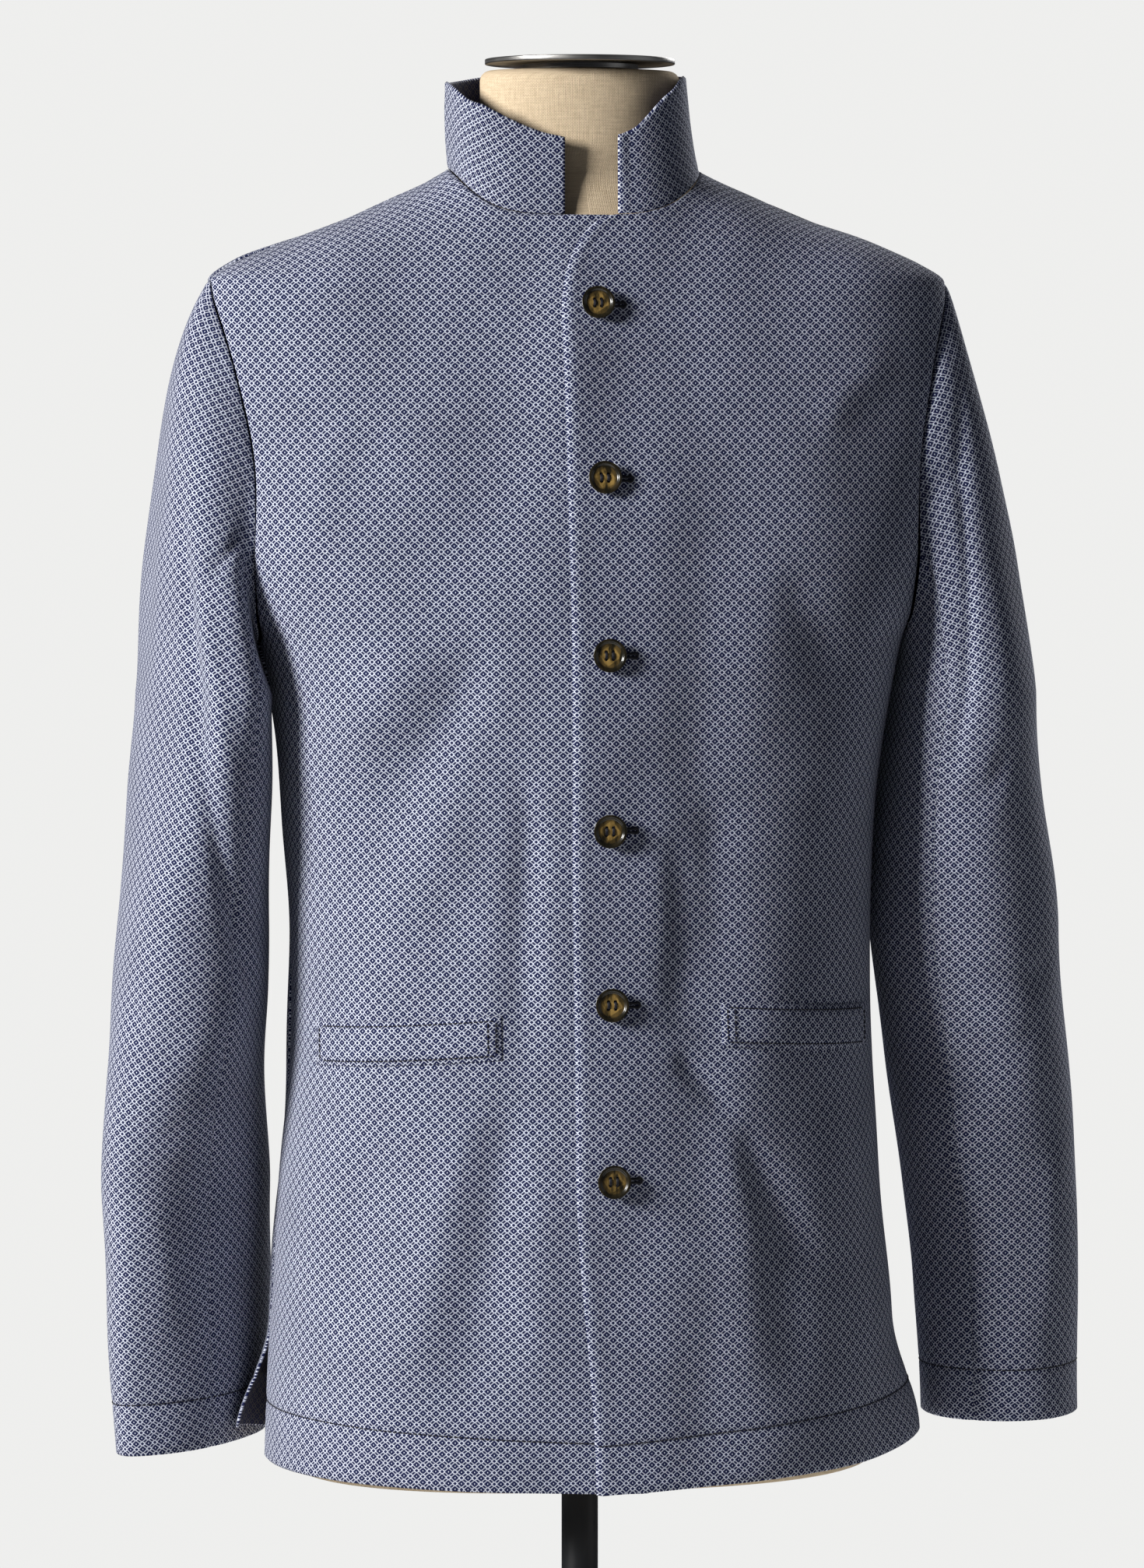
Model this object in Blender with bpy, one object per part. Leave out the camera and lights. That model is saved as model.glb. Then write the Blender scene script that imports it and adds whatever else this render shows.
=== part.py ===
"""Stand-collar jacket of diamond-weave cloth on a limbless dress form.

Metres, +Z up, front to -Y. Right and left are the wearer's: right is at -X.
The origin is on the floor, under the middle of the stand's base.
"""

import math

import bmesh
import bpy
from mathutils import Matrix, Vector

for old_object in list(bpy.data.objects):
    bpy.data.objects.remove(old_object, do_unlink=True)

# Cloth and seams
CLOTH = 0.0016
SEAM_GAP = 0.0003
LONGEST_MITRE = 1.6
SHALLOWEST_MITRE = 0.01
RIGHT = -1
LEFT = 1

# Small steps for slopes and rounding
NORMAL_TURN = 0.02
NORMAL_RISE = 0.002
THETA_STEP = 2.0
STATION_STEP = 0.3
TINY = 1e-6
ROUND_SHARES = (0.0, 0.35, 0.7, 1.0)

# Heights of the jacket
FRONT_HEM = 0.7625
SIDE_HEM = {RIGHT: 0.7672, LEFT: 0.7695}
BACK_HEM = 0.7775
VENT_TOP = 0.848
VENT_HEIGHT = 0.078
UNDERARM = 1.245
SHOULDER_TIP = 1.456
SIDE_NECK = 1.5206
FRONT_NECK = 1.4925
BACK_NECK = 1.529

# Horizontal rings of the jacket's body: height, half width at the side, depth of front and back, squareness
BODY_RINGS = (
    (0.760, 0.1885, 0.1240, 0.1185, 2.30),
    (0.850, 0.1840, 0.1235, 0.1165, 2.30),
    (0.935, 0.1780, 0.1225, 0.1125, 2.25),
    (1.000, 0.1738, 0.1195, 0.1085, 2.20),
    (1.070, 0.1710, 0.1130, 0.1065, 2.20),
    (1.140, 0.1755, 0.1085, 0.1120, 2.20),
    (1.200, 0.1815, 0.1085, 0.1190, 2.25),
    (1.245, 0.1900, 0.1065, 0.1235, 2.30),
    (1.265, 0.1990, 0.1040, 0.1250, 2.30),
    (1.300, 0.2085, 0.0970, 0.1260, 2.30),
    (1.350, 0.2135, 0.0865, 0.1240, 2.25),
    (1.400, 0.2190, 0.0735, 0.1150, 2.20),
    (1.440, 0.2205, 0.0625, 0.1030, 2.05),
    (1.456, 0.2175, 0.0590, 0.0970, 1.95),
    (1.466, 0.2035, 0.0570, 0.0930, 1.85),
    (1.476, 0.1800, 0.0555, 0.0890, 1.80),
    (1.498, 0.1205, 0.0525, 0.0790, 1.75),
    (1.514, 0.0855, 0.0510, 0.0730, 1.80),
    (1.5206, 0.0755, 0.0500, 0.0705, 1.90),
    (1.535, 0.0700, 0.0490, 0.0660, 2.00),
)

# Front closing: the left front lies over the right front
OVERLAP = 0.0205
COLLAR_END = 0.016
UNDER_CORNER = 0.0105
LAP_LIFT = CLOTH + 0.0008
LAP_FLAT_TO = 0.026
LAP_FADES_AT = 0.062
EDGE_DRIFT = 0.0115
EDGE_DRIFT_FROM = 0.950
TOP_CORNER_DROP = 0.064
TOP_CORNER_START = FRONT_NECK - TOP_CORNER_DROP
TOP_CORNER_ROUNDNESS = 0.9
NECK_CURVE_FROM = 0.6
NECK_FLATNESS = {RIGHT: 5.0, LEFT: 1.4}
NECK_SHIFT = -0.0035
NECK_SHIFT_FROM = 1.470

# Armhole: an oval opening, cut back from the side by these shares of the half width
ARMHOLE_CUT = {"front": 0.085, "back": 0.070}
ARMHOLE_MIDDLE = (SHOULDER_TIP + UNDERARM) / 2
ARMHOLE_RISE = (SHOULDER_TIP - UNDERARM) / 2

# Rows and columns of the panels
SIDE_ROWS = 13
ARMHOLE_ROWS = 12
SHOULDER_ROWS = 5
FRONT_COLUMNS = 13
BACK_COLUMNS = 10
FINE_STEPS = 60
SIDE_SHARE = 0.555
ARMHOLE_SHARE = 0.810

# Large folds of the fronts: start and end (x, z), half width, depth inwards
FOLD_FADE = 4.0
FRONT_FOLDS = (
    (-0.060, 1.228, -0.115, 1.165, 0.020, 0.0045),
    (-0.105, 1.172, -0.150, 1.118, 0.018, 0.0040),
    (-0.047, 1.180, -0.043, 1.000, 0.015, 0.0030),
    (-0.085, 0.955, -0.080, 0.850, 0.017, 0.0030),
    (-0.055, 0.955, -0.050, 0.860, 0.012, 0.0020),
    (0.062, 1.150, 0.060, 1.060, 0.015, 0.0030),
    (0.095, 0.950, 0.100, 0.800, 0.022, 0.0030),
)

# Side vents: outward swing of the panel's free corner at the hem
VENT_SWING = {
    ("front", RIGHT): 0.000,
    ("front", LEFT): 0.017,
    ("back", RIGHT): 0.017,
    ("back", LEFT): 0.002,
}
VENT_REACH = {"front": 0.66, "back": 0.80}
VENT_LIFT = 0.35

# Stand collar
COLLAR_CLOTH = 0.0022
COLLAR_FRONT = {RIGHT: 0.0438, LEFT: 0.0450}
COLLAR_CHEEK = {RIGHT: 0.0528, LEFT: 0.0605}
COLLAR_SIDE = {RIGHT: 0.0495, LEFT: 0.0540}
CHEEK_WIDTH = {RIGHT: 0.044, LEFT: 0.034}
CHEEK_ENDS = 0.062
CHEEK_FADES = 0.012
SHORTEST_COLLAR_STEP = 0.002
COLLAR_ROWS = 4
COLLAR_LEANS_IN = 0.0036
COLLAR_LEANS_OVER = 0.0051
COLLAR_LEAN_CURVE = 0.6

# Sleeves: height of a ring, its centre out from the middle and back, half length and half breadth of its
# oval, turn of the oval's long way from sideways to forwards in degrees
RIGHT_SLEEVE = (
    (1.215, 0.2215, 0.004, 0.070, 0.0325, 108.0),
    (1.156, 0.2245, 0.004, 0.066, 0.0395, 100.0),
    (1.100, 0.2270, 0.005, 0.063, 0.0435, 88.0),
    (1.040, 0.2295, 0.007, 0.061, 0.0450, 74.0),
    (0.980, 0.2320, 0.012, 0.063, 0.0410, 58.0),
    (0.920, 0.2310, 0.020, 0.066, 0.0345, 46.0),
    (0.860, 0.2295, 0.027, 0.065, 0.0320, 45.0),
    (0.770, 0.2275, 0.034, 0.060, 0.0300, 46.0),
)
LEFT_SLEEVE = (
    (1.215, 0.2299, 0.004, 0.068, 0.0424, 90.0),
    (1.154, 0.2285, 0.004, 0.062, 0.0495, 90.0),
    (1.072, 0.2320, 0.005, 0.056, 0.0563, 90.0),
    (1.000, 0.2405, 0.006, 0.051, 0.0550, 90.0),
    (0.919, 0.2492, 0.008, 0.048, 0.0525, 90.0),
    (0.864, 0.2535, 0.008, 0.046, 0.0490, 90.0),
    (0.782, 0.2560, 0.008, 0.043, 0.0475, 90.0),
)
SLEEVE_RINGS = {RIGHT: RIGHT_SLEEVE, LEFT: LEFT_SLEEVE}
CUFF_RISE = {RIGHT: 0.004, LEFT: 0.0}
CAP_STATIONS = 8
ARM_STATIONS = 12
LOOP_STEP = 180.0 / ARMHOLE_ROWS
FRONT_SEAM = 120.0
BACK_SEAM = 240.0
CAP_OUT = {RIGHT: 0.60, LEFT: 0.42}
SIDE_OUT = 0.80
UNDERARM_OUT = 0.40
CAP_DOWN = 0.85
SIDE_RISE = 0.40
CAP_FORWARD = 0.25
CAP_PULL = {RIGHT: 0.7, LEFT: 0.5}
ARM_PULL = 0.45
ARM_SLOPE = 0.15

# Pocket welts
WELT_FROM = {RIGHT: 0.0620, LEFT: 0.0665}
WELT_TO = 0.1615
WELT_BOTTOM = {RIGHT: 1.0115, LEFT: 1.0170}
WELT_DROP = 0.008
WELT_HEIGHT = 0.025
WELT_OFF_PANEL = 0.0007
WELT_COLUMNS = 10
WELT_ROWS = 2

# Buttons
BUTTON_COUNT = 6
BUTTON_TOP = 1.440
BUTTON_PITCH = 0.0995
BUTTON_RADIUS = 0.0095
BUTTON_HEIGHT = 0.0034
BUTTON_DISH = 0.0010
BUTTON_SIDES = 20
BUTTON_OFF_PANEL = 0.0007
BUTTON_FLOOR = 1.0 - BUTTON_DISH / BUTTON_HEIGHT
# Turned profile of a button, from the middle of its face: shares of its radius and of its height
BUTTON_PROFILE = (
    (0.00, BUTTON_FLOOR),
    (0.60, BUTTON_FLOOR),
    (0.74, 1.00),
    (0.90, 1.00),
    (1.00, 0.62),
    (0.92, 0.22),
    (0.70, 0.00),
    (0.00, 0.00),
)

# Dress form: height and how far it lies inside the jacket at side, front and back
FORM_INSETS = (
    (0.768, 0.0100, 0.0080, 0.0080),
    (0.935, 0.0120, 0.0120, 0.0110),
    (1.070, 0.0110, 0.0120, 0.0120),
    (1.200, 0.0100, 0.0085, 0.0085),
    (1.245, 0.0125, 0.0060, 0.0060),
    (1.300, 0.0260, 0.0050, 0.0050),
    (1.350, 0.0290, 0.0045, 0.0045),
    (1.400, 0.0310, 0.0038, 0.0038),
    (1.440, 0.0260, 0.0036, 0.0036),
    (1.456, 0.0170, 0.0034, 0.0034),
    (1.466, 0.0050, 0.0032, 0.0032),
    (1.476, 0.0020, 0.0032, 0.0032),
    (1.506, 0.0020, 0.0036, 0.0050),
    (1.5206, 0.0100, 0.0040, 0.0120),
    (1.535, 0.0115, 0.0035, 0.0120),
)
FORM_BELOW_CLOTH = 0.0034
FORM_BOTTOM = 0.7598
FORM_BOTTOM_ROUND = 0.012
FORM_SIDES = 36
FORM_BODY_RINGS = 15
FORM_SHOULDER = 1.440
FORM_SHOULDER_RINGS = 15
NECK_BOTTOM = 1.535
FORM_SHIFTED_TO = 1.512
NECK_HALF_WIDTH = 0.0585
NECK_FRONT = 0.0455
NECK_BACK = 0.0540
NECK_TOP = 1.5775
NECK_ROUND = 0.006

# Steel cap, pole and base
CAP_RADIUS = 0.0555
CAP_THICKNESS = 0.003
CAP_HUB_RADIUS = 0.034
CAP_HUB_HEIGHT = 0.0035
POLE_RADIUS = 0.0108
POLE_SIDES = 32
BASE_RADIUS = 0.180
BASE_THICKNESS = 0.008
BASE_EDGE = 0.002
BASE_SIDES = 64


def smooth(share):
    """Ease from 0 to 1 with level ends."""
    share = min(1.0, max(0.0, share))
    return share * share * (3.0 - 2.0 * share)


def table_at(rows, key):
    """Read a table at a key between its rows, on smooth curves that never overshoot a row."""
    rows = sorted(rows)
    keys = [row[0] for row in rows]
    key = min(keys[-1], max(keys[0], key))
    low = max(index for index in range(len(rows) - 1) if keys[index] <= key)
    step = keys[low + 1] - keys[low]
    share = (key - keys[low]) / step
    values = []
    for column in range(1, len(rows[0])):
        rise = [(b[column] - a[column]) / (b[0] - a[0]) for a, b in zip(rows, rows[1:])]
        slopes = []
        for index in (low, low + 1):
            before = rise[max(0, index - 1)]
            after = rise[min(len(rise) - 1, index)]
            level = before * after <= 0.0
            slopes.append(0.0 if level else 2.0 * before * after / (before + after))
        start, end = rows[low][column], rows[low + 1][column]
        values.append(hermite(start, slopes[0] * step, end, slopes[1] * step, share))
    return values


def hermite(start, leaving, end, arriving, share):
    """Cubic from start to end with the given leaving and arriving slopes, for numbers and vectors."""
    square, cube = share * share, share * share * share
    from_start = 2.0 * cube - 3.0 * square + 1.0
    from_leaving = cube - 2.0 * square + share
    from_end = 3.0 * square - 2.0 * cube
    from_arriving = cube - square
    return start * from_start + leaving * from_leaving + end * from_end + arriving * from_arriving


def neck_shift(z):
    """Sideways shift of the jacket's neck, which sits a little to the wearer's right."""
    return NECK_SHIFT * smooth((z - NECK_SHIFT_FROM) / (SIDE_NECK - NECK_SHIFT_FROM))


def body_point(ratio, z, face):
    """Point of the body's ring at height z, at a signed share of the half width, on its front or back."""
    side, front, back, squareness = table_at(BODY_RINGS, z)
    reach = min(1.0, abs(ratio))
    depth = (1.0 - reach ** squareness) ** (1.0 / squareness)
    y = -front * depth if face == "front" else back * depth
    return Vector((side * ratio + neck_shift(z), y, z))


def body_angle_point(angle, z):
    """Point of the body's ring at an angle: 0 at centre front, a quarter turn at the left side."""
    side, front, back, squareness = table_at(BODY_RINGS, z)
    across, along = math.sin(angle), math.cos(angle)
    power = 2.0 / squareness
    depth = front if along > 0.0 else back
    x = side * math.copysign(abs(across) ** power, across) + neck_shift(z)
    y = -depth * math.copysign(abs(along) ** power, along)
    return Vector((x, y, z))


def body_normal(ratio, z, face):
    """Outward normal of the body's surface."""
    squareness = table_at(BODY_RINGS, z)[3]
    across = math.copysign(min(1.0, abs(ratio)) ** (squareness / 2.0), ratio)
    angle = math.asin(across)
    if face == "back":
        angle = math.pi - angle
    along_ring = body_angle_point(angle + NORMAL_TURN, z) - body_angle_point(angle - NORMAL_TURN, z)
    up_wall = body_angle_point(angle, z + NORMAL_RISE) - body_angle_point(angle, z - NORMAL_RISE)
    return along_ring.cross(up_wall).normalized()


def armhole_place(theta, face_side):
    """Share of the half width, height and face of an armhole point: 0 at the shoulder, 180 underarm."""
    face = "front" if theta <= 180.0 else "back"
    angle = math.radians(theta)
    ratio = 1.0 - ARMHOLE_CUT[face] * math.sin(angle) ** 2
    z = ARMHOLE_MIDDLE + ARMHOLE_RISE * math.cos(angle)
    return face_side * ratio, z, face


def armhole_point(side, theta):
    return body_point(*armhole_place(theta % 360.0, side))


def sleeve_start(side, theta):
    """Direction in which the sleeve leaves the armhole."""
    angle = math.radians(theta)
    front_or_back = math.sin(angle) ** 2
    under = ((1.0 - math.cos(angle)) / 2.0) ** 2
    top = ((1.0 + math.cos(angle)) / 2.0) ** 2
    out = CAP_OUT[side] * top + SIDE_OUT * front_or_back + UNDERARM_OUT * under
    down = CAP_DOWN - SIDE_RISE * front_or_back
    forward = CAP_FORWARD * math.sin(angle)
    return Vector((side * out, -forward, -down)).normalized()


def armhole_mitre(side, theta):
    """Inward step of both walls at the armhole seam, and the small step over the seam to the sleeve."""
    ratio, z, face = armhole_place(theta % 360.0, side)
    point = body_point(ratio, z, face)
    tangent = (armhole_point(side, theta + THETA_STEP) - armhole_point(side, theta - THETA_STEP)).normalized()
    leaving = sleeve_start(side, theta)
    sleeve_normal = tangent.cross(leaving).normalized()
    from_middle = Vector((0.0, point.y, z - ARMHOLE_MIDDLE))
    if sleeve_normal.dot(from_middle) < 0.0:
        sleeve_normal.negate()
    wall_normal = body_normal(ratio, z, face)
    inward = -(wall_normal + sleeve_normal).normalized()
    stretch = min(LONGEST_MITRE, 1.0 / max(SHALLOWEST_MITRE, -inward.dot(wall_normal)))
    over_seam = tangent.cross(inward).normalized()
    if over_seam.dot(leaving) < 0.0:
        over_seam.negate()
    return inward * CLOTH * stretch, over_seam * SEAM_GAP


def fold_depth(x, z):
    """Depth of the fronts' folds at a place on the panel."""
    total = 0.0
    for x0, z0, x1, z1, half_width, depth in FRONT_FOLDS:
        run = Vector((x1 - x0, z1 - z0))
        share = Vector((x - x0, z - z0)).dot(run) / run.length_squared
        nearest = Vector((x0, z0)) + run * min(1.0, max(0.0, share))
        distance = (Vector((x, z)) - nearest).length
        fade = smooth(FOLD_FADE * share + 0.5) * smooth(FOLD_FADE * (1.0 - share) + 0.5)
        total += depth * fade * math.exp(-((distance / half_width) ** 2))
    return total


def panel_rows():
    """Shares up a panel's long edge: side seam, armhole, shoulder seam."""
    side = [SIDE_SHARE * index / SIDE_ROWS for index in range(SIDE_ROWS)]
    hole = ARMHOLE_SHARE - SIDE_SHARE
    armhole = [SIDE_SHARE + hole * index / ARMHOLE_ROWS for index in range(ARMHOLE_ROWS)]
    shoulder = 1.0 - ARMHOLE_SHARE
    top = [ARMHOLE_SHARE + shoulder * index / SHOULDER_ROWS for index in range(SHOULDER_ROWS + 1)]
    return side + armhole + top


def long_edge(share, face, hem):
    """Share of the half width, height and armhole angle (or None) along a panel's long edge."""
    if share < SIDE_SHARE - TINY:
        return 1.0, hem + (UNDERARM - hem) * share / SIDE_SHARE, None
    if share <= ARMHOLE_SHARE + TINY:
        theta = 180.0 * (ARMHOLE_SHARE - share) / (ARMHOLE_SHARE - SIDE_SHARE)
        if face == "back":
            theta = 360.0 - theta
        ratio, z, _ = armhole_place(theta % 360.0, 1.0)
        return ratio, z, theta % 360.0
    climbed = (share - ARMHOLE_SHARE) / (1.0 - ARMHOLE_SHARE)
    return 1.0, SHOULDER_TIP + (SIDE_NECK - SHOULDER_TIP) * climbed, None


def front_edge(share, side):
    """Place (x, z) of a front's closing edge; positive x is towards the panel's own side."""
    corner_from = (TOP_CORNER_START - FRONT_HEM) / (FRONT_NECK - FRONT_HEM)
    if side == LEFT and share > corner_from:
        round_share = (share - corner_from) / (1.0 - corner_from)
        turn = math.radians(90.0) * round_share
        x = COLLAR_END - (COLLAR_END + OVERLAP) * math.cos(turn)
        return x, TOP_CORNER_START + TOP_CORNER_DROP * math.sin(turn) ** TOP_CORNER_ROUNDNESS
    z = FRONT_HEM + (FRONT_NECK - FRONT_HEM) * share
    drift = EDGE_DRIFT * smooth((EDGE_DRIFT_FROM - z) / (EDGE_DRIFT_FROM - FRONT_HEM))
    if side == LEFT:
        return drift - OVERLAP, z
    corner = OVERLAP - UNDER_CORNER
    from_top = FRONT_NECK - z
    rounding = corner * max(0.0, 1.0 - from_top / corner) ** 2
    return rounding - OVERLAP, z


def vent_swing(face, side, across, z):
    """Outward swing of a panel beside its vent."""
    near_hem = smooth((VENT_TOP - z) / VENT_HEIGHT)
    near_edge = smooth((across - VENT_REACH[face]) / (1.0 - VENT_REACH[face]))
    return VENT_SWING[face, side] * near_hem * near_edge


def lap_lift(x, side):
    """Lift of the left front where it lies over the right front."""
    if side == RIGHT:
        return 0.0
    return LAP_LIFT * smooth((LAP_FADES_AT - x) / (LAP_FADES_AT - LAP_FLAT_TO))


def front_surface(side, ratio, z, across):
    """Outer point of a front and its outward normal, with folds, lap and vent."""
    point = body_point(side * ratio, z, "front")
    normal = body_normal(side * ratio, z, "front")
    x = side * point.x
    swing = vent_swing("front", side, across, z)
    lift = lap_lift(x, side) + swing - fold_depth(point.x, z)
    return point + normal * lift + Vector((0.0, 0.0, VENT_LIFT * swing)), normal


def back_surface(ratio, z, across):
    side = RIGHT if ratio < 0.0 else LEFT
    point = body_point(ratio, z, "back")
    normal = body_normal(ratio, z, "back")
    swing = vent_swing("back", side, across, z)
    return point + normal * swing + Vector((0.0, 0.0, VENT_LIFT * swing)), normal


def even_samples(places, columns):
    """Pick evenly spaced places along a finely stepped row; each place is (point, normal)."""
    lengths = [0.0]
    for (before, _), (after, _) in zip(places, places[1:]):
        lengths.append(lengths[-1] + (after - before).length)
    picked = []
    for column in range(columns + 1):
        target = lengths[-1] * column / columns
        index = max(step for step in range(len(lengths) - 1) if lengths[step] <= target or step == 0)
        span = lengths[index + 1] - lengths[index]
        share = min(1.0, (target - lengths[index]) / span)
        point = places[index][0].lerp(places[index + 1][0], share)
        normal = places[index][1].lerp(places[index + 1][1], share).normalized()
        picked.append((point, normal))
    return picked


def neck_inward(normal, tangent):
    """Inward step of the walls at the neck seam, half way between the panel and the upright collar."""
    outward = tangent.cross(Vector((0.0, 0.0, 1.0))).normalized()
    if outward.dot(normal) < 0.0:
        outward.negate()
    inward = -(normal + outward).normalized()
    stretch = min(LONGEST_MITRE, 1.0 / max(SHALLOWEST_MITRE, -inward.dot(normal)))
    return inward * CLOTH * stretch


def finish_rows(rows, edges, seam_shift):
    """Outer and inner points of a panel from its rows of (point, normal) and its seam edges."""
    outer, inner = [], []
    for index, row in enumerate(rows):
        outer_row, inner_row = [], []
        for column, (point, normal) in enumerate(row):
            step = normal * -CLOTH
            theta, side = edges[index].get(column, (None, None))
            if theta is not None:
                step = armhole_mitre(side, theta)[0]
            elif index == len(rows) - 1:
                before, after = row[max(0, column - 1)][0], row[min(len(row) - 1, column + 1)][0]
                step = neck_inward(normal, after - before)
            shift = Vector((0.0, seam_shift if column in edges[index] else 0.0, 0.0))
            outer_row.append(point + shift)
            inner_row.append(point + step + shift)
        outer.append(outer_row)
        inner.append(inner_row)
    return outer, inner


def front_panel(side):
    """Outer and inner grids of a front: rows from the hem up, columns from the closing edge to the side."""
    rows, edges = [], []
    for share in panel_rows():
        x_edge, z_edge = front_edge(share, side)
        ratio_end, z_end, theta = long_edge(share, "front", SIDE_HEM[side])
        x_end = ratio_end * table_at(BODY_RINGS, z_end)[0]
        at_neck = smooth((share - NECK_CURVE_FROM) / (1.0 - NECK_CURVE_FROM))
        flatness = 1.0 + NECK_FLATNESS[side] * at_neck
        places = []
        for step in range(FINE_STEPS + 1):
            across = step / FINE_STEPS
            sweep = math.sin(math.radians(90.0) * across)
            z = z_edge + (z_end - z_edge) * sweep ** flatness
            x = x_edge + (x_end - x_edge) * sweep
            ratio = x / table_at(BODY_RINGS, z)[0]
            places.append(front_surface(side, ratio, z, across))
        rows.append(even_samples(places, FRONT_COLUMNS))
        edges.append({FRONT_COLUMNS: (theta, side)})
    return finish_rows(rows, edges, -SEAM_GAP / 2)


def back_panel():
    """Outer and inner grids of the back: rows from the hem up, columns from the right side to the left."""
    rows, edges = [], []
    for share in panel_rows():
        z_middle = BACK_HEM + (BACK_NECK - BACK_HEM) * share
        ratio_end, z_end, theta = long_edge(share, "back", BACK_HEM)
        x_end = ratio_end * table_at(BODY_RINGS, z_end)[0]
        halves = {}
        for side in (RIGHT, LEFT):
            places = []
            for step in range(FINE_STEPS + 1):
                across = step / FINE_STEPS
                sweep = math.sin(math.radians(90.0) * across)
                z = z_middle + (z_end - z_middle) * sweep ** 2
                ratio = x_end * sweep / table_at(BODY_RINGS, z)[0]
                places.append(back_surface(side * max(TINY, ratio), z, across))
            halves[side] = even_samples(places, BACK_COLUMNS)
        rows.append(halves[RIGHT][::-1] + halves[LEFT][1:])
        edges.append({0: (theta, RIGHT), 2 * BACK_COLUMNS: (theta, LEFT)})
    return finish_rows(rows, edges, SEAM_GAP / 2)


def sleeve_ring_point(side, theta, z):
    """Point of the hanging sleeve's ring: 0 degrees outwards, 90 degrees forwards."""
    out, back, half_length, half_breadth, turn = table_at(SLEEVE_RINGS[side], z)
    turn = math.radians(turn)
    angle = math.radians(theta) - turn
    along, across = half_length * math.cos(angle), half_breadth * math.sin(angle)
    sideways = along * math.cos(turn) - across * math.sin(turn)
    forwards = along * math.sin(turn) + across * math.cos(turn)
    top, cuff = SLEEVE_RINGS[side][0][0], SLEEVE_RINGS[side][-1][0]
    down_arm = (top - z) / (top - cuff)
    rise = CUFF_RISE[side] * down_arm ** 3 * (1.0 - math.cos(math.radians(theta))) / 2.0
    return Vector((side * (out + sideways), back - forwards, z + rise))


def sleeve_point(side, theta, station):
    """Point of the sleeve's outer face; stations run from the armhole through the cap and down the arm."""
    top, cuff = SLEEVE_RINGS[side][0][0], SLEEVE_RINGS[side][-1][0]
    if station >= CAP_STATIONS:
        z = top + (cuff - top) * (station - CAP_STATIONS) / ARM_STATIONS
        return sleeve_ring_point(side, theta, z)
    start = armhole_point(side, theta) + armhole_mitre(side, theta)[1]
    end = sleeve_ring_point(side, theta, top)
    chord = (end - start).length
    leaving = sleeve_start(side, theta) * CAP_PULL[side] * chord
    arriving = Vector((side * ARM_SLOPE, 0.0, -1.0)) * ARM_PULL * chord
    return hermite(start, leaving, end, arriving, station / CAP_STATIONS)


def sleeve_panel(side, theta_from, theta_to):
    """Outer and inner grids of one sleeve piece between two seams."""
    count = round((theta_to - theta_from) / LOOP_STEP)
    outer, inner = [], []
    for station in range(CAP_STATIONS + ARM_STATIONS + 1):
        outer_row, inner_row = [], []
        for column in range(count + 1):
            theta = theta_from + LOOP_STEP * column
            point = sleeve_point(side, theta, station)
            ahead = sleeve_point(side, theta + THETA_STEP, station)
            around = ahead - sleeve_point(side, theta - THETA_STEP, station)
            if station == 0:
                step = armhole_mitre(side, theta)[0]
            else:
                last = CAP_STATIONS + ARM_STATIONS
                below = sleeve_point(side, theta, min(last, station + STATION_STEP))
                above = sleeve_point(side, theta, station - STATION_STEP)
                normal = around.cross(below - above).normalized() * side
                step = normal * -CLOTH
            shift = Vector((0.0, 0.0, 0.0))
            if column == 0:
                shift = around.normalized() * (SEAM_GAP / 2)
            if column == count:
                shift = around.normalized() * (-SEAM_GAP / 2)
            outer_row.append(point + shift)
            inner_row.append(point + shift + step)
        outer.append(outer_row)
        inner.append(inner_row)
    return outer, inner


def neck_path(right_front, left_front, back):
    """Pairs of outer and inner points along the neck seam, from the right collar end round to the left."""
    right = list(zip(right_front[0][-1], right_front[1][-1]))
    left = list(zip(left_front[0][-1], left_front[1][-1]))
    behind = list(zip(back[0][-1], back[1][-1]))
    first = max(index for index, pair in enumerate(right) if pair[0].x > -COLLAR_END)
    start, end = right[first], right[first + 1]
    share = (-COLLAR_END - start[0].x) / (end[0].x - start[0].x)
    cut = (start[0].lerp(end[0], share), start[1].lerp(end[1], share))
    rest = [pair for pair in right[first + 1:-1] if (pair[0] - cut[0]).length > SHORTEST_COLLAR_STEP]
    return [cut] + rest + behind + left[-2::-1]


def collar_height(base):
    """Height of the collar above a point of the neck seam: low at its ends, tallest at the cheeks."""
    if base.y > 0.0:
        half = table_at(BODY_RINGS, SIDE_NECK)[0]
        to_left = smooth((base.x - NECK_SHIFT + half) / (2.0 * half))
        return COLLAR_SIDE[RIGHT] + (COLLAR_SIDE[LEFT] - COLLAR_SIDE[RIGHT]) * to_left
    side = RIGHT if base.x < 0.0 else LEFT
    cheek = smooth((abs(base.x) - COLLAR_END) / CHEEK_WIDTH[side])
    beside = smooth((abs(base.x) - CHEEK_ENDS) / CHEEK_FADES)
    at_cheek = COLLAR_FRONT[side] + (COLLAR_CHEEK[side] - COLLAR_FRONT[side]) * cheek
    return at_cheek - (COLLAR_CHEEK[side] - COLLAR_SIDE[side]) * beside


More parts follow.
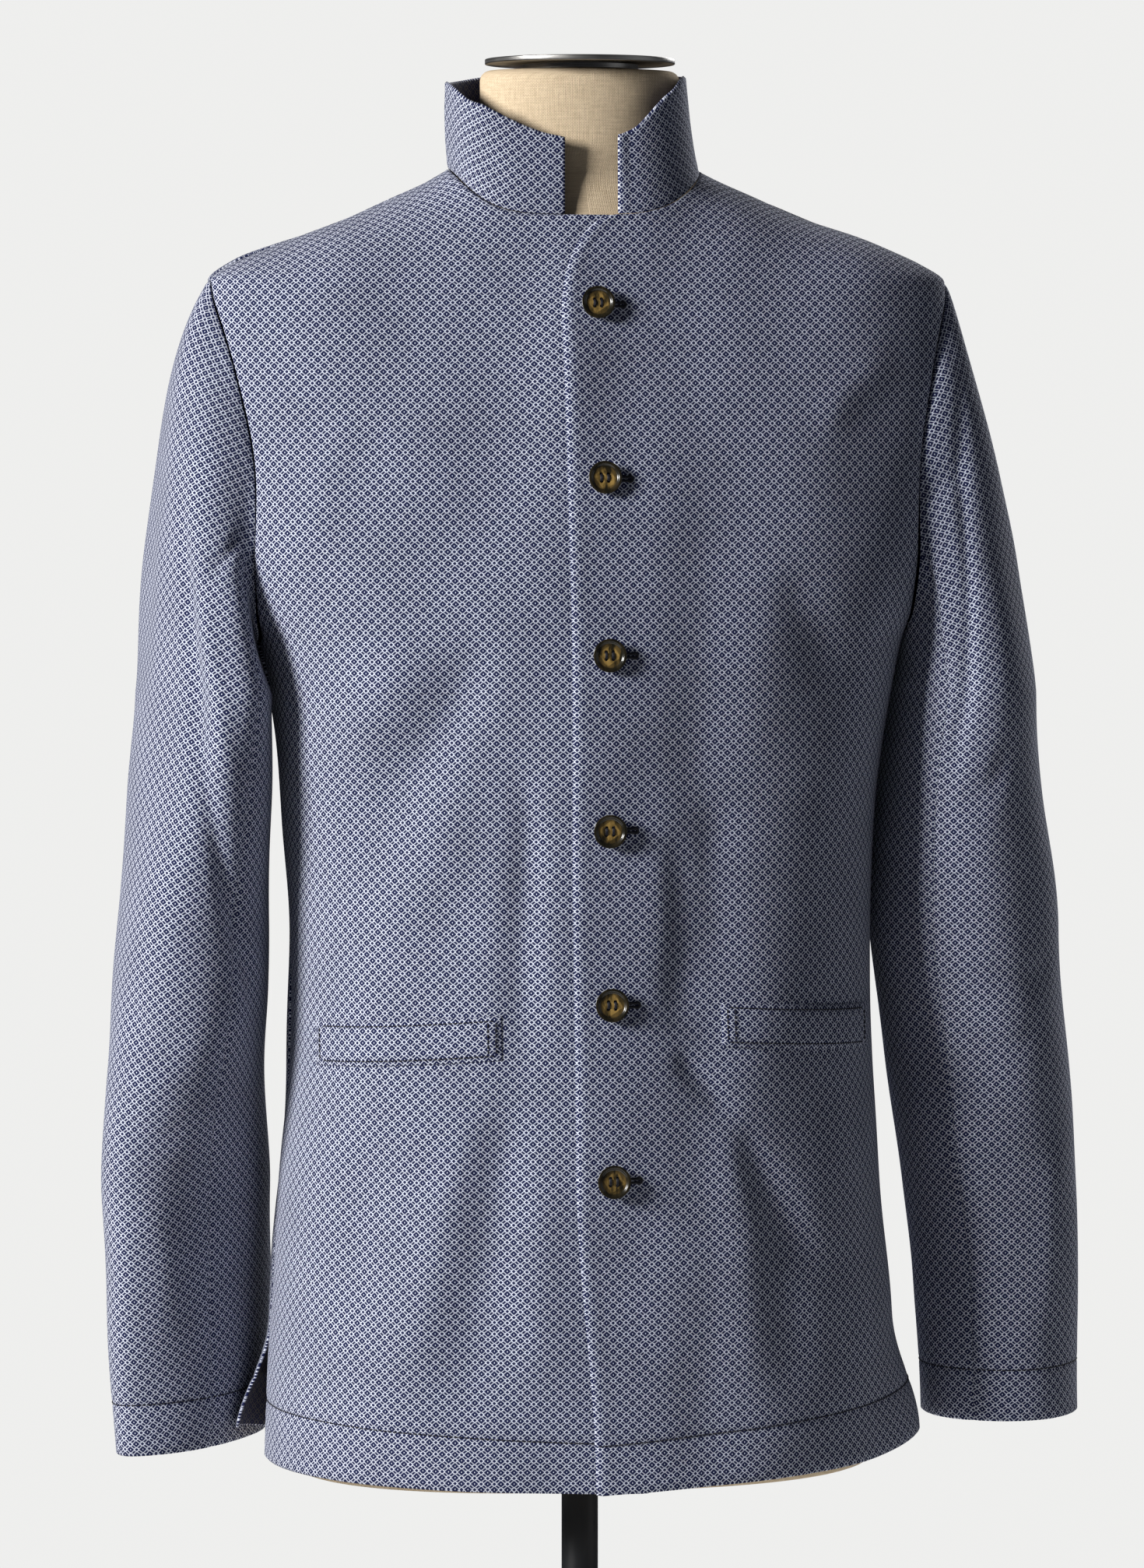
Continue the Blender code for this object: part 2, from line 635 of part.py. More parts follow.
def collar_band(path):
    """Outer and inner grids of the standing collar on the neck seam."""
    outer = [[] for _ in range(COLLAR_ROWS + 1)]
    inner = [[] for _ in range(COLLAR_ROWS + 1)]
    for index, (base, base_inner) in enumerate(path):
        before, after = path[max(0, index - 1)][0], path[min(len(path) - 1, index + 1)][0]
        tangent = (after - before).normalized()
        outward = Vector((0.0, 0.0, 1.0)).cross(tangent).normalized()
        if outward.dot(Vector((base.x, base.y, 0.0))) < 0.0:
            outward.negate()
        tall = collar_height(base)
        over_seam = Vector((0.0, 0.0, SEAM_GAP))
        for row in range(COLLAR_ROWS + 1):
            share = row / COLLAR_ROWS
            lean = COLLAR_LEANS_IN + COLLAR_LEANS_OVER * outward.x
            rise = over_seam - outward * lean * share ** COLLAR_LEAN_CURVE + Vector((0.0, 0.0, tall * share))
            outer[row].append(base + rise)
            if row == 0:
                inner[row].append(base_inner + over_seam)
            else:
                inner[row].append(base + rise - outward * COLLAR_CLOTH)
    return outer, inner


def welt_strip(side):
    """Outer and inner grids of a pocket welt, from the front's own points moved out."""
    outer, inner = [], []
    for row in range(WELT_ROWS + 1):
        places = []
        for step in range(FINE_STEPS + 1):
            share = step / FINE_STEPS
            x = WELT_FROM[side] + (WELT_TO - WELT_FROM[side]) * share
            z = WELT_BOTTOM[side] + WELT_HEIGHT * row / WELT_ROWS - WELT_DROP * share
            places.append(front_surface(side, x / table_at(BODY_RINGS, z)[0], z, 0.5))
        picked = even_samples(places, WELT_COLUMNS)
        inner.append([point + normal * WELT_OFF_PANEL for point, normal in picked])
        outer.append([point + normal * (WELT_OFF_PANEL + CLOTH) for point, normal in picked])
    return outer, inner


def cloth_material():
    return plain_material("dobby_cloth", (0.090, 0.105, 0.190), 0.85, 0.0)


def plain_material(name, colour, roughness, metallic):
    material = bpy.data.materials.get(name)
    if material is None:
        material = bpy.data.materials.new(name)
        material.use_nodes = True
        shader = material.node_tree.nodes["Principled BSDF"]
        shader.inputs["Base Color"].default_value = (*colour, 1.0)
        shader.inputs["Roughness"].default_value = roughness
        shader.inputs["Metallic"].default_value = metallic
        material.diffuse_color = (*colour, 1.0)
    return material


def add_object(name, shape, material, sharp_degrees=40.0):
    """Turn a bmesh into a named, smoothly shaded object with its faces outwards."""
    bmesh.ops.recalc_face_normals(shape, faces=shape.faces)
    if shape.calc_volume(signed=True) < 0.0:
        bmesh.ops.reverse_faces(shape, faces=shape.faces)
    mesh = bpy.data.meshes.new(name)
    shape.to_mesh(mesh)
    shape.free()
    mesh.shade_smooth()
    mesh.set_sharp_from_angle(angle=math.radians(sharp_degrees))
    mesh.materials.append(material)
    item = bpy.data.objects.new(name, mesh)
    bpy.context.scene.collection.objects.link(item)
    return item


def add_wall(name, grids, material):
    """Closed wall between an outer and an inner grid of points."""
    shape = bmesh.new()
    layers = []
    for grid in grids:
        layers.append([[shape.verts.new(point) for point in row] for row in grid])
    outer, inner = layers
    rows, columns = len(outer), len(outer[0])
    for row in range(rows - 1):
        for column in range(columns - 1):
            for layer in layers:
                low, high = layer[row], layer[row + 1]
                shape.faces.new((low[column], low[column + 1], high[column + 1], high[column]))
    rim = [(0, column) for column in range(columns)]
    rim += [(row, columns - 1) for row in range(1, rows)]
    rim += [(rows - 1, column) for column in range(columns - 2, -1, -1)]
    rim += [(row, 0) for row in range(rows - 2, 0, -1)]
    for ends in zip(rim, rim[1:] + rim[:1]):
        (row, column), (next_row, next_column) = sorted(ends)
        corner, opposite = outer[row][column], inner[next_row][next_column]
        shape.faces.new((corner, outer[next_row][next_column], opposite))
        shape.faces.new((corner, opposite, inner[row][column]))
    return add_object(name, shape, material)


def add_turned(name, profile, sides, material, place=Matrix.Identity(4)):
    """Solid turned round Z from (radius, height) points that run from the top middle to the bottom middle."""
    shape = bmesh.new()
    rings = []
    for radius, height in profile:
        if radius == 0.0:
            rings.append([shape.verts.new(place @ Vector((0.0, 0.0, height)))] * sides)
            continue
        ring = []
        for step in range(sides):
            turn = 2.0 * math.pi * step / sides
            point = Vector((radius * math.cos(turn), radius * math.sin(turn), height))
            ring.append(shape.verts.new(place @ point))
        rings.append(ring)
    for upper, lower in zip(rings, rings[1:]):
        for step in range(sides):
            following = (step + 1) % sides
            corners = dict.fromkeys((upper[step], upper[following], lower[following], lower[step]))
            shape.faces.new(list(corners))
    return add_object(name, shape, material)


def form_ring(z):
    """Points of the dress form's torso ring at height z."""
    side, front, back, squareness = table_at(BODY_RINGS, z + FORM_BELOW_CLOTH)
    inset_side, inset_front, inset_back = table_at(FORM_INSETS, z)
    half_width, front, back = side - inset_side, front - inset_front, back - inset_back
    shift = neck_shift(z) * smooth((NECK_BOTTOM - z) / (NECK_BOTTOM - FORM_SHIFTED_TO))
    points = []
    for step in range(FORM_SIDES):
        angle = 2.0 * math.pi * step / FORM_SIDES
        across, along = math.sin(angle), math.cos(angle)
        power = 2.0 / squareness
        depth = front if along > 0.0 else back
        x = half_width * math.copysign(abs(across) ** power, across) + shift
        y = -depth * math.copysign(abs(along) ** power, along)
        points.append(Vector((x, y, z)))
    return points


def neck_ring(z, inset):
    """Points of the dress form's neck ring at height z."""
    points = []
    for step in range(FORM_SIDES):
        angle = 2.0 * math.pi * step / FORM_SIDES
        depth = NECK_FRONT if math.cos(angle) > 0.0 else NECK_BACK
        x = (NECK_HALF_WIDTH - inset) * math.sin(angle)
        y = -(depth - inset) * math.cos(angle)
        points.append(Vector((x, y, z)))
    return points


def rounded_bottom_rings():
    """Rings of the form's rounded lower edge, from the flat underside up."""
    rings = []
    for share in ROUND_SHARES:
        turn = math.radians(90.0) * share
        inset = FORM_BOTTOM_ROUND * (1.0 - math.sin(turn))
        z = FORM_BOTTOM + FORM_BOTTOM_ROUND * (1.0 - math.cos(turn))
        ring = []
        for point in form_ring(z):
            reach = math.hypot(point.x, point.y)
            keep = (reach - inset) / reach
            ring.append(Vector((point.x * keep, point.y * keep, z)))
        rings.append(ring)
    return rings


def add_dress_form(material):
    """Padded torso from its flat underside up to the rounded neck top."""
    rings = rounded_bottom_rings()
    lowest = FORM_BOTTOM + FORM_BOTTOM_ROUND
    for index in range(1, FORM_BODY_RINGS + 1):
        rings.append(form_ring(lowest + (FORM_SHOULDER - lowest) * index / FORM_BODY_RINGS))
    for index in range(1, FORM_SHOULDER_RINGS + 1):
        rings.append(form_ring(FORM_SHOULDER + (NECK_BOTTOM - FORM_SHOULDER) * index / FORM_SHOULDER_RINGS))
    neck_side = NECK_TOP - NECK_ROUND
    rings.append(neck_ring((NECK_BOTTOM + neck_side) / 2, 0.0))
    for share in ROUND_SHARES:
        turn = math.radians(90.0) * share
        rings.append(neck_ring(neck_side + NECK_ROUND * math.sin(turn), NECK_ROUND * (1.0 - math.cos(turn))))
    shape = bmesh.new()
    loops = [[shape.verts.new(point) for point in ring] for ring in rings]
    for lower, upper in zip(loops, loops[1:]):
        for step in range(FORM_SIDES):
            following = (step + 1) % FORM_SIDES
            shape.faces.new((lower[step], lower[following], upper[following], upper[step]))
    shape.faces.new(loops[0][::-1])
    shape.faces.new(loops[-1])
    return add_object("dress_form", shape, material)


def add_button(index, material):
    """Round button on the left front at the centre front, facing out."""
    z = BUTTON_TOP - BUTTON_PITCH * (index - 1)
    point, normal = front_surface(LEFT, 0.0, z, 0.0)
    seat = point + normal * BUTTON_OFF_PANEL
    turn = normal.to_track_quat("Z", "Y").to_matrix().to_4x4()
    profile = [(BUTTON_RADIUS * across, BUTTON_HEIGHT * up) for across, up in BUTTON_PROFILE]
    return add_turned(f"button_{index}", profile, BUTTON_SIDES, material, Matrix.Translation(seat) @ turn)


def main():
    cloth = cloth_material()
    horn = plain_material("horn", (0.110, 0.065, 0.035), 0.35, 0.0)
    linen = plain_material("linen", (0.520, 0.420, 0.280), 0.85, 0.0)
    steel = plain_material("brushed_steel", (0.560, 0.550, 0.530), 0.30, 1.0)
    black_paint = plain_material("black_paint", (0.018, 0.020, 0.024), 0.45, 0.0)

    right_front = front_panel(RIGHT)
    left_front = front_panel(LEFT)
    back = back_panel()
    add_wall("front_right", right_front, cloth)
    add_wall("front_left", left_front, cloth)
    add_wall("back", back, cloth)
    add_wall("collar", collar_band(neck_path(right_front, left_front, back)), cloth)
    for side, word in ((RIGHT, "right"), (LEFT, "left")):
        add_wall(f"sleeve_top_{word}", sleeve_panel(side, BACK_SEAM, FRONT_SEAM + 360.0), cloth)
        add_wall(f"sleeve_under_{word}", sleeve_panel(side, FRONT_SEAM, BACK_SEAM), cloth)
        add_wall(f"pocket_welt_{word}", welt_strip(side), cloth)
    for index in range(1, BUTTON_COUNT + 1):
        add_button(index, horn)

    add_dress_form(linen)
    cap_bottom = NECK_TOP + SEAM_GAP
    cap_disc = cap_bottom + CAP_HUB_HEIGHT
    add_turned("neck_cap", (
        (0.0, cap_disc + CAP_THICKNESS),
        (CAP_RADIUS, cap_disc + CAP_THICKNESS),
        (CAP_RADIUS, cap_disc),
        (CAP_HUB_RADIUS, cap_disc),
        (CAP_HUB_RADIUS, cap_bottom),
        (0.0, cap_bottom),
    ), BASE_SIDES, steel)
    pole_top = FORM_BOTTOM - SEAM_GAP
    pole_bottom = BASE_THICKNESS + SEAM_GAP
    add_turned("pole", (
        (0.0, pole_top),
        (POLE_RADIUS, pole_top),
        (POLE_RADIUS, pole_bottom),
        (0.0, pole_bottom),
    ), POLE_SIDES, black_paint)
    add_turned("base", (
        (0.0, BASE_THICKNESS),
        (BASE_RADIUS - BASE_EDGE, BASE_THICKNESS),
        (BASE_RADIUS, BASE_THICKNESS - BASE_EDGE),
        (BASE_RADIUS, 0.0),
        (0.0, 0.0),
    ), BASE_SIDES, black_paint)


main()
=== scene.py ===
# %% [markdown]
# A buttoned stand-collar jacket of diamond-weave cloth, on a limbless dress form.
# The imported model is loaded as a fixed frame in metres, +Z up, with the jacket's front at -Y.
# Its cloth nodes are plain walls. Here they get their creases, seams, sewing and weave.
# Right and left are the wearer's: right is at -X, on the viewer's left.

# %% Load the frame
import math

import bpy
import numpy as np
from mathutils import Matrix, Vector


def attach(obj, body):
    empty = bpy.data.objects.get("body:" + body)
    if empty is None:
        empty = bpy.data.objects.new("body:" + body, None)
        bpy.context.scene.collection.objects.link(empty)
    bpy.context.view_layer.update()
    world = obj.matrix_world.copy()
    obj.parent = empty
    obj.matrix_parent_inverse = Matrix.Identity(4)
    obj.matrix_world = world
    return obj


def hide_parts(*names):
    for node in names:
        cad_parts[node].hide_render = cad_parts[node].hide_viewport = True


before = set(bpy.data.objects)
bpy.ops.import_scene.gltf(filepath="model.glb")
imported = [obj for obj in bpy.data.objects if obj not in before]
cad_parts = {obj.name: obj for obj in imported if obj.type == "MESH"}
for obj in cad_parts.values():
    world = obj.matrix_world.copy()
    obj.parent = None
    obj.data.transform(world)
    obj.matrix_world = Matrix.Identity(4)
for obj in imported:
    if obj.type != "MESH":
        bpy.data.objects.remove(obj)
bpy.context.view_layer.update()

BODY = "root"
print("nodes in the frame:", len(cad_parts))

# %% [markdown]
# The camera comes first, because every later decision is judged through it.
# The photograph was taken from a little to the wearer's right and from chest height, with a long lens.
# A long lens far away keeps the jacket's proportions, where a short lens close by would swell its middle.

# %% Camera
CAMERA_TURN = math.radians(-8.5)
CAMERA_DISTANCE = 3.35
CAMERA_HEIGHT = 1.392
CAMERA_SHIFT = -0.0046
CAMERA_LOOKS_DOWN = math.radians(3.95)
CAMERA_LENS = 131.0
SENSOR = 36.0


def place_camera():
    sideways = Vector((math.cos(CAMERA_TURN), math.sin(CAMERA_TURN), 0.0))
    forward = Vector((-math.sin(CAMERA_TURN), math.cos(CAMERA_TURN), 0.0))
    data = bpy.data.cameras.new("photo_camera")
    data.lens = CAMERA_LENS
    data.sensor_width = SENSOR
    camera = bpy.data.objects.new("photo_camera", data)
    bpy.context.scene.collection.objects.link(camera)
    camera.location = sideways * CAMERA_SHIFT - forward * CAMERA_DISTANCE + Vector((0.0, 0.0, CAMERA_HEIGHT))
    looking = forward - Vector((0.0, 0.0, math.tan(CAMERA_LOOKS_DOWN)))
    camera.rotation_euler = looking.to_track_quat("-Z", "Y").to_euler()
    bpy.context.scene.camera = camera
    return camera


print("camera at", tuple(round(value, 3) for value in place_camera().location))

# %% [markdown]
# Materials are built from nodes. Small helpers keep that readable: one wires a number or another node's
# output into a socket, and the others add one node each, such as the Math nodes that patterns are made of.

# %% Node helpers
WEAVE_MAP = "weave"


def wire(tree, socket, value):
    """Give a socket a value, or link it to another socket."""
    if isinstance(value, bpy.types.NodeSocket):
        tree.links.new(value, socket)
    else:
        socket.default_value = value


def calc(tree, operation, first, second=None):
    """Result of a Math node on numbers or sockets."""
    node = tree.nodes.new("ShaderNodeMath")
    node.operation = operation
    wire(tree, node.inputs[0], first)
    if second is not None:
        wire(tree, node.inputs[1], second)
    return node.outputs[0]


def blend_colours(tree, share, first, second, how="MIX"):
    """Mix of two colours by a share."""
    node = tree.nodes.new("ShaderNodeMix")
    node.data_type = "RGBA"
    node.blend_type = how
    wire(tree, node.inputs["Factor"], share)
    wire(tree, node.inputs["A"], first)
    wire(tree, node.inputs["B"], second)
    return node.outputs["Result"]


def remap(tree, value, low, high, to_low, to_high, soft=False):
    """Value moved from one range to another and held inside it."""
    node = tree.nodes.new("ShaderNodeMapRange")
    node.interpolation_type = "SMOOTHSTEP" if soft else "LINEAR"
    for name, number in zip(("From Min", "From Max", "To Min", "To Max"), (low, high, to_low, to_high)):
        wire(tree, node.inputs[name], number)
    wire(tree, node.inputs["Value"], value)
    return node.outputs["Result"]


def noise(tree, place, scale, detail=2.0):
    node = tree.nodes.new("ShaderNodeTexNoise")
    wire(tree, node.inputs["Vector"], place)
    node.inputs["Scale"].default_value = scale
    node.inputs["Detail"].default_value = detail
    return node.outputs["Fac"]


def stretched(tree, place, scale):
    """Place with each axis scaled, so that a pattern runs long one way."""
    node = tree.nodes.new("ShaderNodeVectorMath")
    node.operation = "MULTIPLY"
    wire(tree, node.inputs[0], place)
    node.inputs[1].default_value = scale
    return node.outputs[0]


def bump(tree, height, distance, strength):
    node = tree.nodes.new("ShaderNodeBump")
    node.inputs["Distance"].default_value = distance
    node.inputs["Strength"].default_value = strength
    wire(tree, node.inputs["Height"], height)
    return node.outputs["Normal"]


def new_material(name, roughness):
    """Material with a Principled shader whose uniform roughness is set on its own socket."""
    material = bpy.data.materials.new(name)
    material.use_nodes = True
    shader = material.node_tree.nodes["Principled BSDF"]
    shader.inputs["Roughness"].default_value = roughness
    return material, material.node_tree, shader


def weave_place(tree):
    """Flat place on the cloth in metres, from the piece's own map."""
    node = tree.nodes.new("ShaderNodeUVMap")
    node.uv_map = WEAVE_MAP
    return node.outputs["UV"]


def object_place(tree):
    """Place in the frame's own metres."""
    return tree.nodes.new("ShaderNodeTexCoord").outputs["Object"]


print("weaves read the map named", WEAVE_MAP)

# %% [markdown]
# All cloth is yarns that cross, so one node group serves the jacket and the form's linen cover.
# It snaps the flat place on the cloth to a grid of yarns, gives every yarn a shade of its own, and
# a rounded height for the bump. White noise on the snapped place is the simplest way to vary yarns.

# %% Group: crossing yarns
FLOAT = "NodeSocketFloat"
VECTOR = "NodeSocketVector"


def group_with(name, inputs, outputs):
    """Empty node group with its named sockets."""
    group = bpy.data.node_groups.new(name, "ShaderNodeTree")
    for socket, kind in inputs:
        group.interface.new_socket(socket, in_out="INPUT", socket_type=kind)
    for socket, kind in outputs:
        group.interface.new_socket(socket, in_out="OUTPUT", socket_type=kind)
    entry = group.nodes.new("NodeGroupInput")
    result = group.nodes.new("NodeGroupOutput")
    return group, entry, result


def yarn_group():
    group, entry, result = group_with(
        "crossing_yarns",
        (("Place", VECTOR), ("Yarn Width", FLOAT), ("Yarn Height", FLOAT)),
        (("Shade", FLOAT), ("Round", FLOAT), ("Over", FLOAT)),
    )
    split = group.nodes.new("ShaderNodeSeparateXYZ")
    wire(group, split.inputs[0], entry.outputs["Place"])
    across = calc(group, "DIVIDE", split.outputs["X"], entry.outputs["Yarn Width"])
    up = calc(group, "DIVIDE", split.outputs["Y"], entry.outputs["Yarn Height"])
    column, row = calc(group, "FLOOR", across), calc(group, "FLOOR", up)
    cell = group.nodes.new("ShaderNodeCombineXYZ")
    wire(group, cell.inputs["X"], column)
    wire(group, cell.inputs["Y"], row)
    wire(group, result.inputs["Over"], calc(group, "PINGPONG", calc(group, "ADD", column, row), 1.0))
    chance = group.nodes.new("ShaderNodeTexWhiteNoise")
    wire(group, chance.inputs["Vector"], cell.outputs[0])
    wire(group, result.inputs["Shade"], chance.outputs["Value"])
    across_round = calc(group, "SINE", calc(group, "MULTIPLY", calc(group, "FRACT", across), math.pi))
    up_round = calc(group, "SINE", calc(group, "MULTIPLY", calc(group, "FRACT", up), math.pi))
    wire(group, result.inputs["Round"], calc(group, "MULTIPLY", across_round, up_round))
    return group


YARNS = yarn_group()
print("group:", YARNS.name)

# %% [markdown]
# The jacket's dobby is a lattice of small navy diamonds on a pale ground. Each unit has a diamond with a pale
# dot in its middle, a navy dash along each of its four sides, and a small navy square where four dashes
# meet. Counting in diagonals turns all of them into boxes, so a few Math nodes draw the chart at any size.
# The place is snapped to yarns first, which gives the steps of a real weave.

# %% Group: diamond dobby
DIAMOND_WIDTH = 0.0075
DIAMOND_HEIGHT = 0.0066
YARNS_ACROSS = 26
YARNS_UP = 18
# Shares of a unit, counted along its diagonals
DIAMOND_REACH = 0.300
DOT_REACH = 0.064
SQUARE_REACH = 0.155
DASH_REACH = 0.113
DASH_LENGTH = 0.225
STEP_SOFTNESS = 0.014


def dobby_group():
    group, entry, result = group_with(
        "diamond_dobby",
        (("Place", VECTOR), ("Diamond Width", FLOAT), ("Diamond Height", FLOAT)),
        (("Pale", FLOAT),),
    )

    def below(value, limit):
        return remap(group, value, limit - STEP_SOFTNESS, limit + STEP_SOFTNESS, 1.0, 0.0)

    def above(value, limit):
        return remap(group, value, limit - STEP_SOFTNESS, limit + STEP_SOFTNESS, 0.0, 1.0)

    split = group.nodes.new("ShaderNodeSeparateXYZ")
    wire(group, split.inputs[0], entry.outputs["Place"])
    steps = {}
    for axis, size, count in (("X", "Diamond Width", YARNS_ACROSS), ("Y", "Diamond Height", YARNS_UP)):
        place = calc(group, "DIVIDE", split.outputs[axis], entry.outputs[size])
        yarn = calc(group, "FLOOR", calc(group, "MULTIPLY", place, count))
        steps[axis] = calc(group, "DIVIDE", calc(group, "ADD", yarn, 0.5), count)
    falling = calc(group, "PINGPONG", calc(group, "ADD", steps["X"], steps["Y"]), 0.5)
    rising = calc(group, "PINGPONG", calc(group, "SUBTRACT", steps["X"], steps["Y"]), 0.5)
    wider = calc(group, "MAXIMUM", falling, rising)
    nearer = calc(group, "MINIMUM", falling, rising)
    diamond = calc(group, "SUBTRACT", below(wider, DIAMOND_REACH), below(wider, DOT_REACH))
    square = above(nearer, 0.5 - SQUARE_REACH)
    dash = calc(group, "MULTIPLY", above(wider, 0.5 - DASH_REACH), below(nearer, DASH_LENGTH))
    navy = calc(group, "MAXIMUM", calc(group, "MAXIMUM", diamond, square), dash)
    wire(group, result.inputs["Pale"], calc(group, "SUBTRACT", 1.0, navy))
    return group


DOBBY = dobby_group()
print("group:", DOBBY.name)

# %% [markdown]
# The cloth's navy and pale yarns are matt, with a faint sheen. Its reverse is darker. Both
# materials place the same two groups and differ only in their colours. What is the same all over, such
# as roughness and sheen, is set on the shader itself.

# %% Cloth materials
NAVY = (0.006, 0.012, 0.074, 1.0)
PALE = (0.80, 0.84, 0.98, 1.0)
REVERSE_PALE = (0.105, 0.105, 0.125, 1.0)
CLOTH_ROUGHNESS = 0.86
CLOTH_SHEEN = 0.05
CLOTH_SPECULAR = 0.25
YARN_SHADES = (0.78, 1.06)
YARN_BUMP = 0.00025
CLOUD_SCALE = 28.0
CLOUD_SHADES = (0.94, 1.05)
PALE_RISE = 0.6


def placed_group(tree, group, **values):
    """Group node with its inputs set; underscores in a name stand for spaces."""
    node = tree.nodes.new("ShaderNodeGroup")
    node.node_tree = group
    for name, value in values.items():
        wire(tree, node.inputs[name.replace("_", " ")], value)
    return node


def cloth_material(name, pale_colour):
    material, tree, shader = new_material(name, CLOTH_ROUGHNESS)
    shader.inputs["Sheen Weight"].default_value = CLOTH_SHEEN
    shader.inputs["Sheen Roughness"].default_value = 0.5
    shader.inputs["Specular IOR Level"].default_value = CLOTH_SPECULAR
    place = weave_place(tree)
    diamonds = placed_group(
        tree, DOBBY, Place=place, Diamond_Width=DIAMOND_WIDTH, Diamond_Height=DIAMOND_HEIGHT
    ).outputs["Pale"]
    yarn_size = {"Yarn_Width": DIAMOND_WIDTH / YARNS_ACROSS, "Yarn_Height": DIAMOND_HEIGHT / YARNS_UP}
    yarns = placed_group(tree, YARNS, Place=place, **yarn_size)
    colour = blend_colours(tree, diamonds, NAVY, pale_colour)
    yarn_shade = remap(tree, yarns.outputs["Shade"], 0.0, 1.0, *YARN_SHADES)
    cloud = remap(tree, noise(tree, place, CLOUD_SCALE), 0.3, 0.7, *CLOUD_SHADES)
    shade = calc(tree, "MULTIPLY", yarn_shade, cloud)
    grey = tree.nodes.new("ShaderNodeCombineColor")
    for channel in ("Red", "Green", "Blue"):
        wire(tree, grey.inputs[channel], shade)
    wire(tree, shader.inputs["Base Color"], blend_colours(tree, 1.0, colour, grey.outputs[0], "MULTIPLY"))
    height = calc(tree, "ADD", calc(tree, "MULTIPLY", diamonds, PALE_RISE), yarns.outputs["Round"])
    wire(tree, shader.inputs["Normal"], bump(tree, height, YARN_BUMP, 0.5))
    return material


CLOTH_FACE = cloth_material("dobby_face", PALE)
CLOTH_REVERSE = cloth_material("dobby_reverse", REVERSE_PALE)
print("cloth materials:", CLOTH_FACE.name, CLOTH_REVERSE.name)

# %% [markdown]
# The sewing thread is navy with a slight twist in its shade. The form's cover is a coarse natural linen
# with thick and thin places in its yarns, called slubs. Noise stretched along the yarns makes them.

# %% Thread and linen
THREAD_DARK = (0.003, 0.003, 0.008, 1.0)
THREAD_LIGHT = (0.010, 0.011, 0.024, 1.0)
TWIST_SCALE = 2600.0
LINEN_YARN = 0.0008
LINEN_BUMP = 0.0004
# Scale of a slub along its yarn and across it
SLUB_ALONG = 90.0
SLUB_ACROSS = 1150.0
LINEN_LIGHT = (0.93, 0.76, 0.54, 1.0)
LINEN_DARK = (0.62, 0.47, 0.30, 1.0)


def thread_material():
    material, tree, shader = new_material("navy_thread", 0.55)
    twist = remap(tree, noise(tree, object_place(tree), TWIST_SCALE), 0.35, 0.65, 0.0, 1.0)
    wire(tree, shader.inputs["Base Color"], blend_colours(tree, twist, THREAD_DARK, THREAD_LIGHT))
    return material


def linen_material():
    material, tree, shader = new_material("linen_canvas", 0.9)
    shader.inputs["Specular IOR Level"].default_value = 0.2
    place = weave_place(tree)
    yarns = placed_group(tree, YARNS, Place=place, Yarn_Width=LINEN_YARN, Yarn_Height=LINEN_YARN)
    slub_across = noise(tree, stretched(tree, place, (SLUB_ALONG, SLUB_ACROSS, 1.0)), 1.0, 1.0)
    slub_up = noise(tree, stretched(tree, place, (SLUB_ACROSS, SLUB_ALONG, 1.0)), 1.0, 1.0)
    slub = calc(tree, "MULTIPLY", calc(tree, "ADD", slub_across, slub_up), 0.5)
    thickness = remap(tree, slub, 0.36, 0.64, 0.0, 0.5)
    uneven = calc(tree, "ADD", thickness, calc(tree, "MULTIPLY", yarns.outputs["Shade"], 0.2))
    shade = calc(tree, "ADD", uneven, calc(tree, "MULTIPLY", yarns.outputs["Over"], 0.35))
    wire(tree, shader.inputs["Base Color"], blend_colours(tree, shade, LINEN_DARK, LINEN_LIGHT))
    height = calc(tree, "ADD", yarns.outputs["Round"], slub)
    wire(tree, shader.inputs["Normal"], bump(tree, height, LINEN_BUMP, 0.6))
    return material


NAVY_THREAD = thread_material()
LINEN = linen_material()
print("materials:", NAVY_THREAD.name, LINEN.name)

# %% [markdown]
# The jacket's form is worked out from a few tables: horizontal rings of the body, rings of the hanging
# sleeves, and the lines where panels are cut. They repeat the solids' sizes, so every sheet lies on its
# solid. Numpy reads the tables at thousands of places at once, which a loop over points would do slowly.

# %% Curves through tables


def smooth(share):
    """Ease from 0 to 1 with level ends."""
    share = np.clip(share, 0.0, 1.0)
    return share * share * (3.0 - 2.0 * share)


def hermite(start, leaving, end, arriving, share):
    """Cubic from start to end with the given leaving and arriving slopes."""
    square = share * share
    cube = square * share
    from_start = 2.0 * cube - 3.0 * square + 1.0
    from_leaving = cube - 2.0 * square + share
    from_end = 3.0 * square - 2.0 * cube
    return start * from_start + leaving * from_leaving + end * from_end + arriving * (cube - square)


def table_at(rows, key):
    """Columns of a table at keys between its rows, on smooth curves that never overshoot a row."""
    table = np.array(rows)
    table = table[table[:, 0].argsort()]
    keys, values = table[:, 0], table[:, 1:]
    steps = np.diff(keys)
    rise = np.diff(values, axis=0) / steps[:, None]
    before = np.vstack((rise[:1], rise))
    after = np.vstack((rise, rise[-1:]))
    level = before * after <= 0.0
    slopes = np.where(level, 0.0, 2.0 * before * after / np.where(level, 1.0, before + after))
    key = np.clip(np.asarray(key, dtype=float), keys[0], keys[-1])
    low = np.clip(np.searchsorted(keys, key, side="right") - 1, 0, len(steps) - 1)
    step = steps[low][..., None]
    share = (key - keys[low])[..., None] / step
    read = hermite(values[low], slopes[low] * step, values[low + 1], slopes[low + 1] * step, share)
    return np.moveaxis(read, -1, 0)


def unit(vectors):
    """Vectors at length 1."""
    length = np.linalg.norm(vectors, axis=-1, keepdims=True)
    return vectors / np.maximum(length, 1e-12)


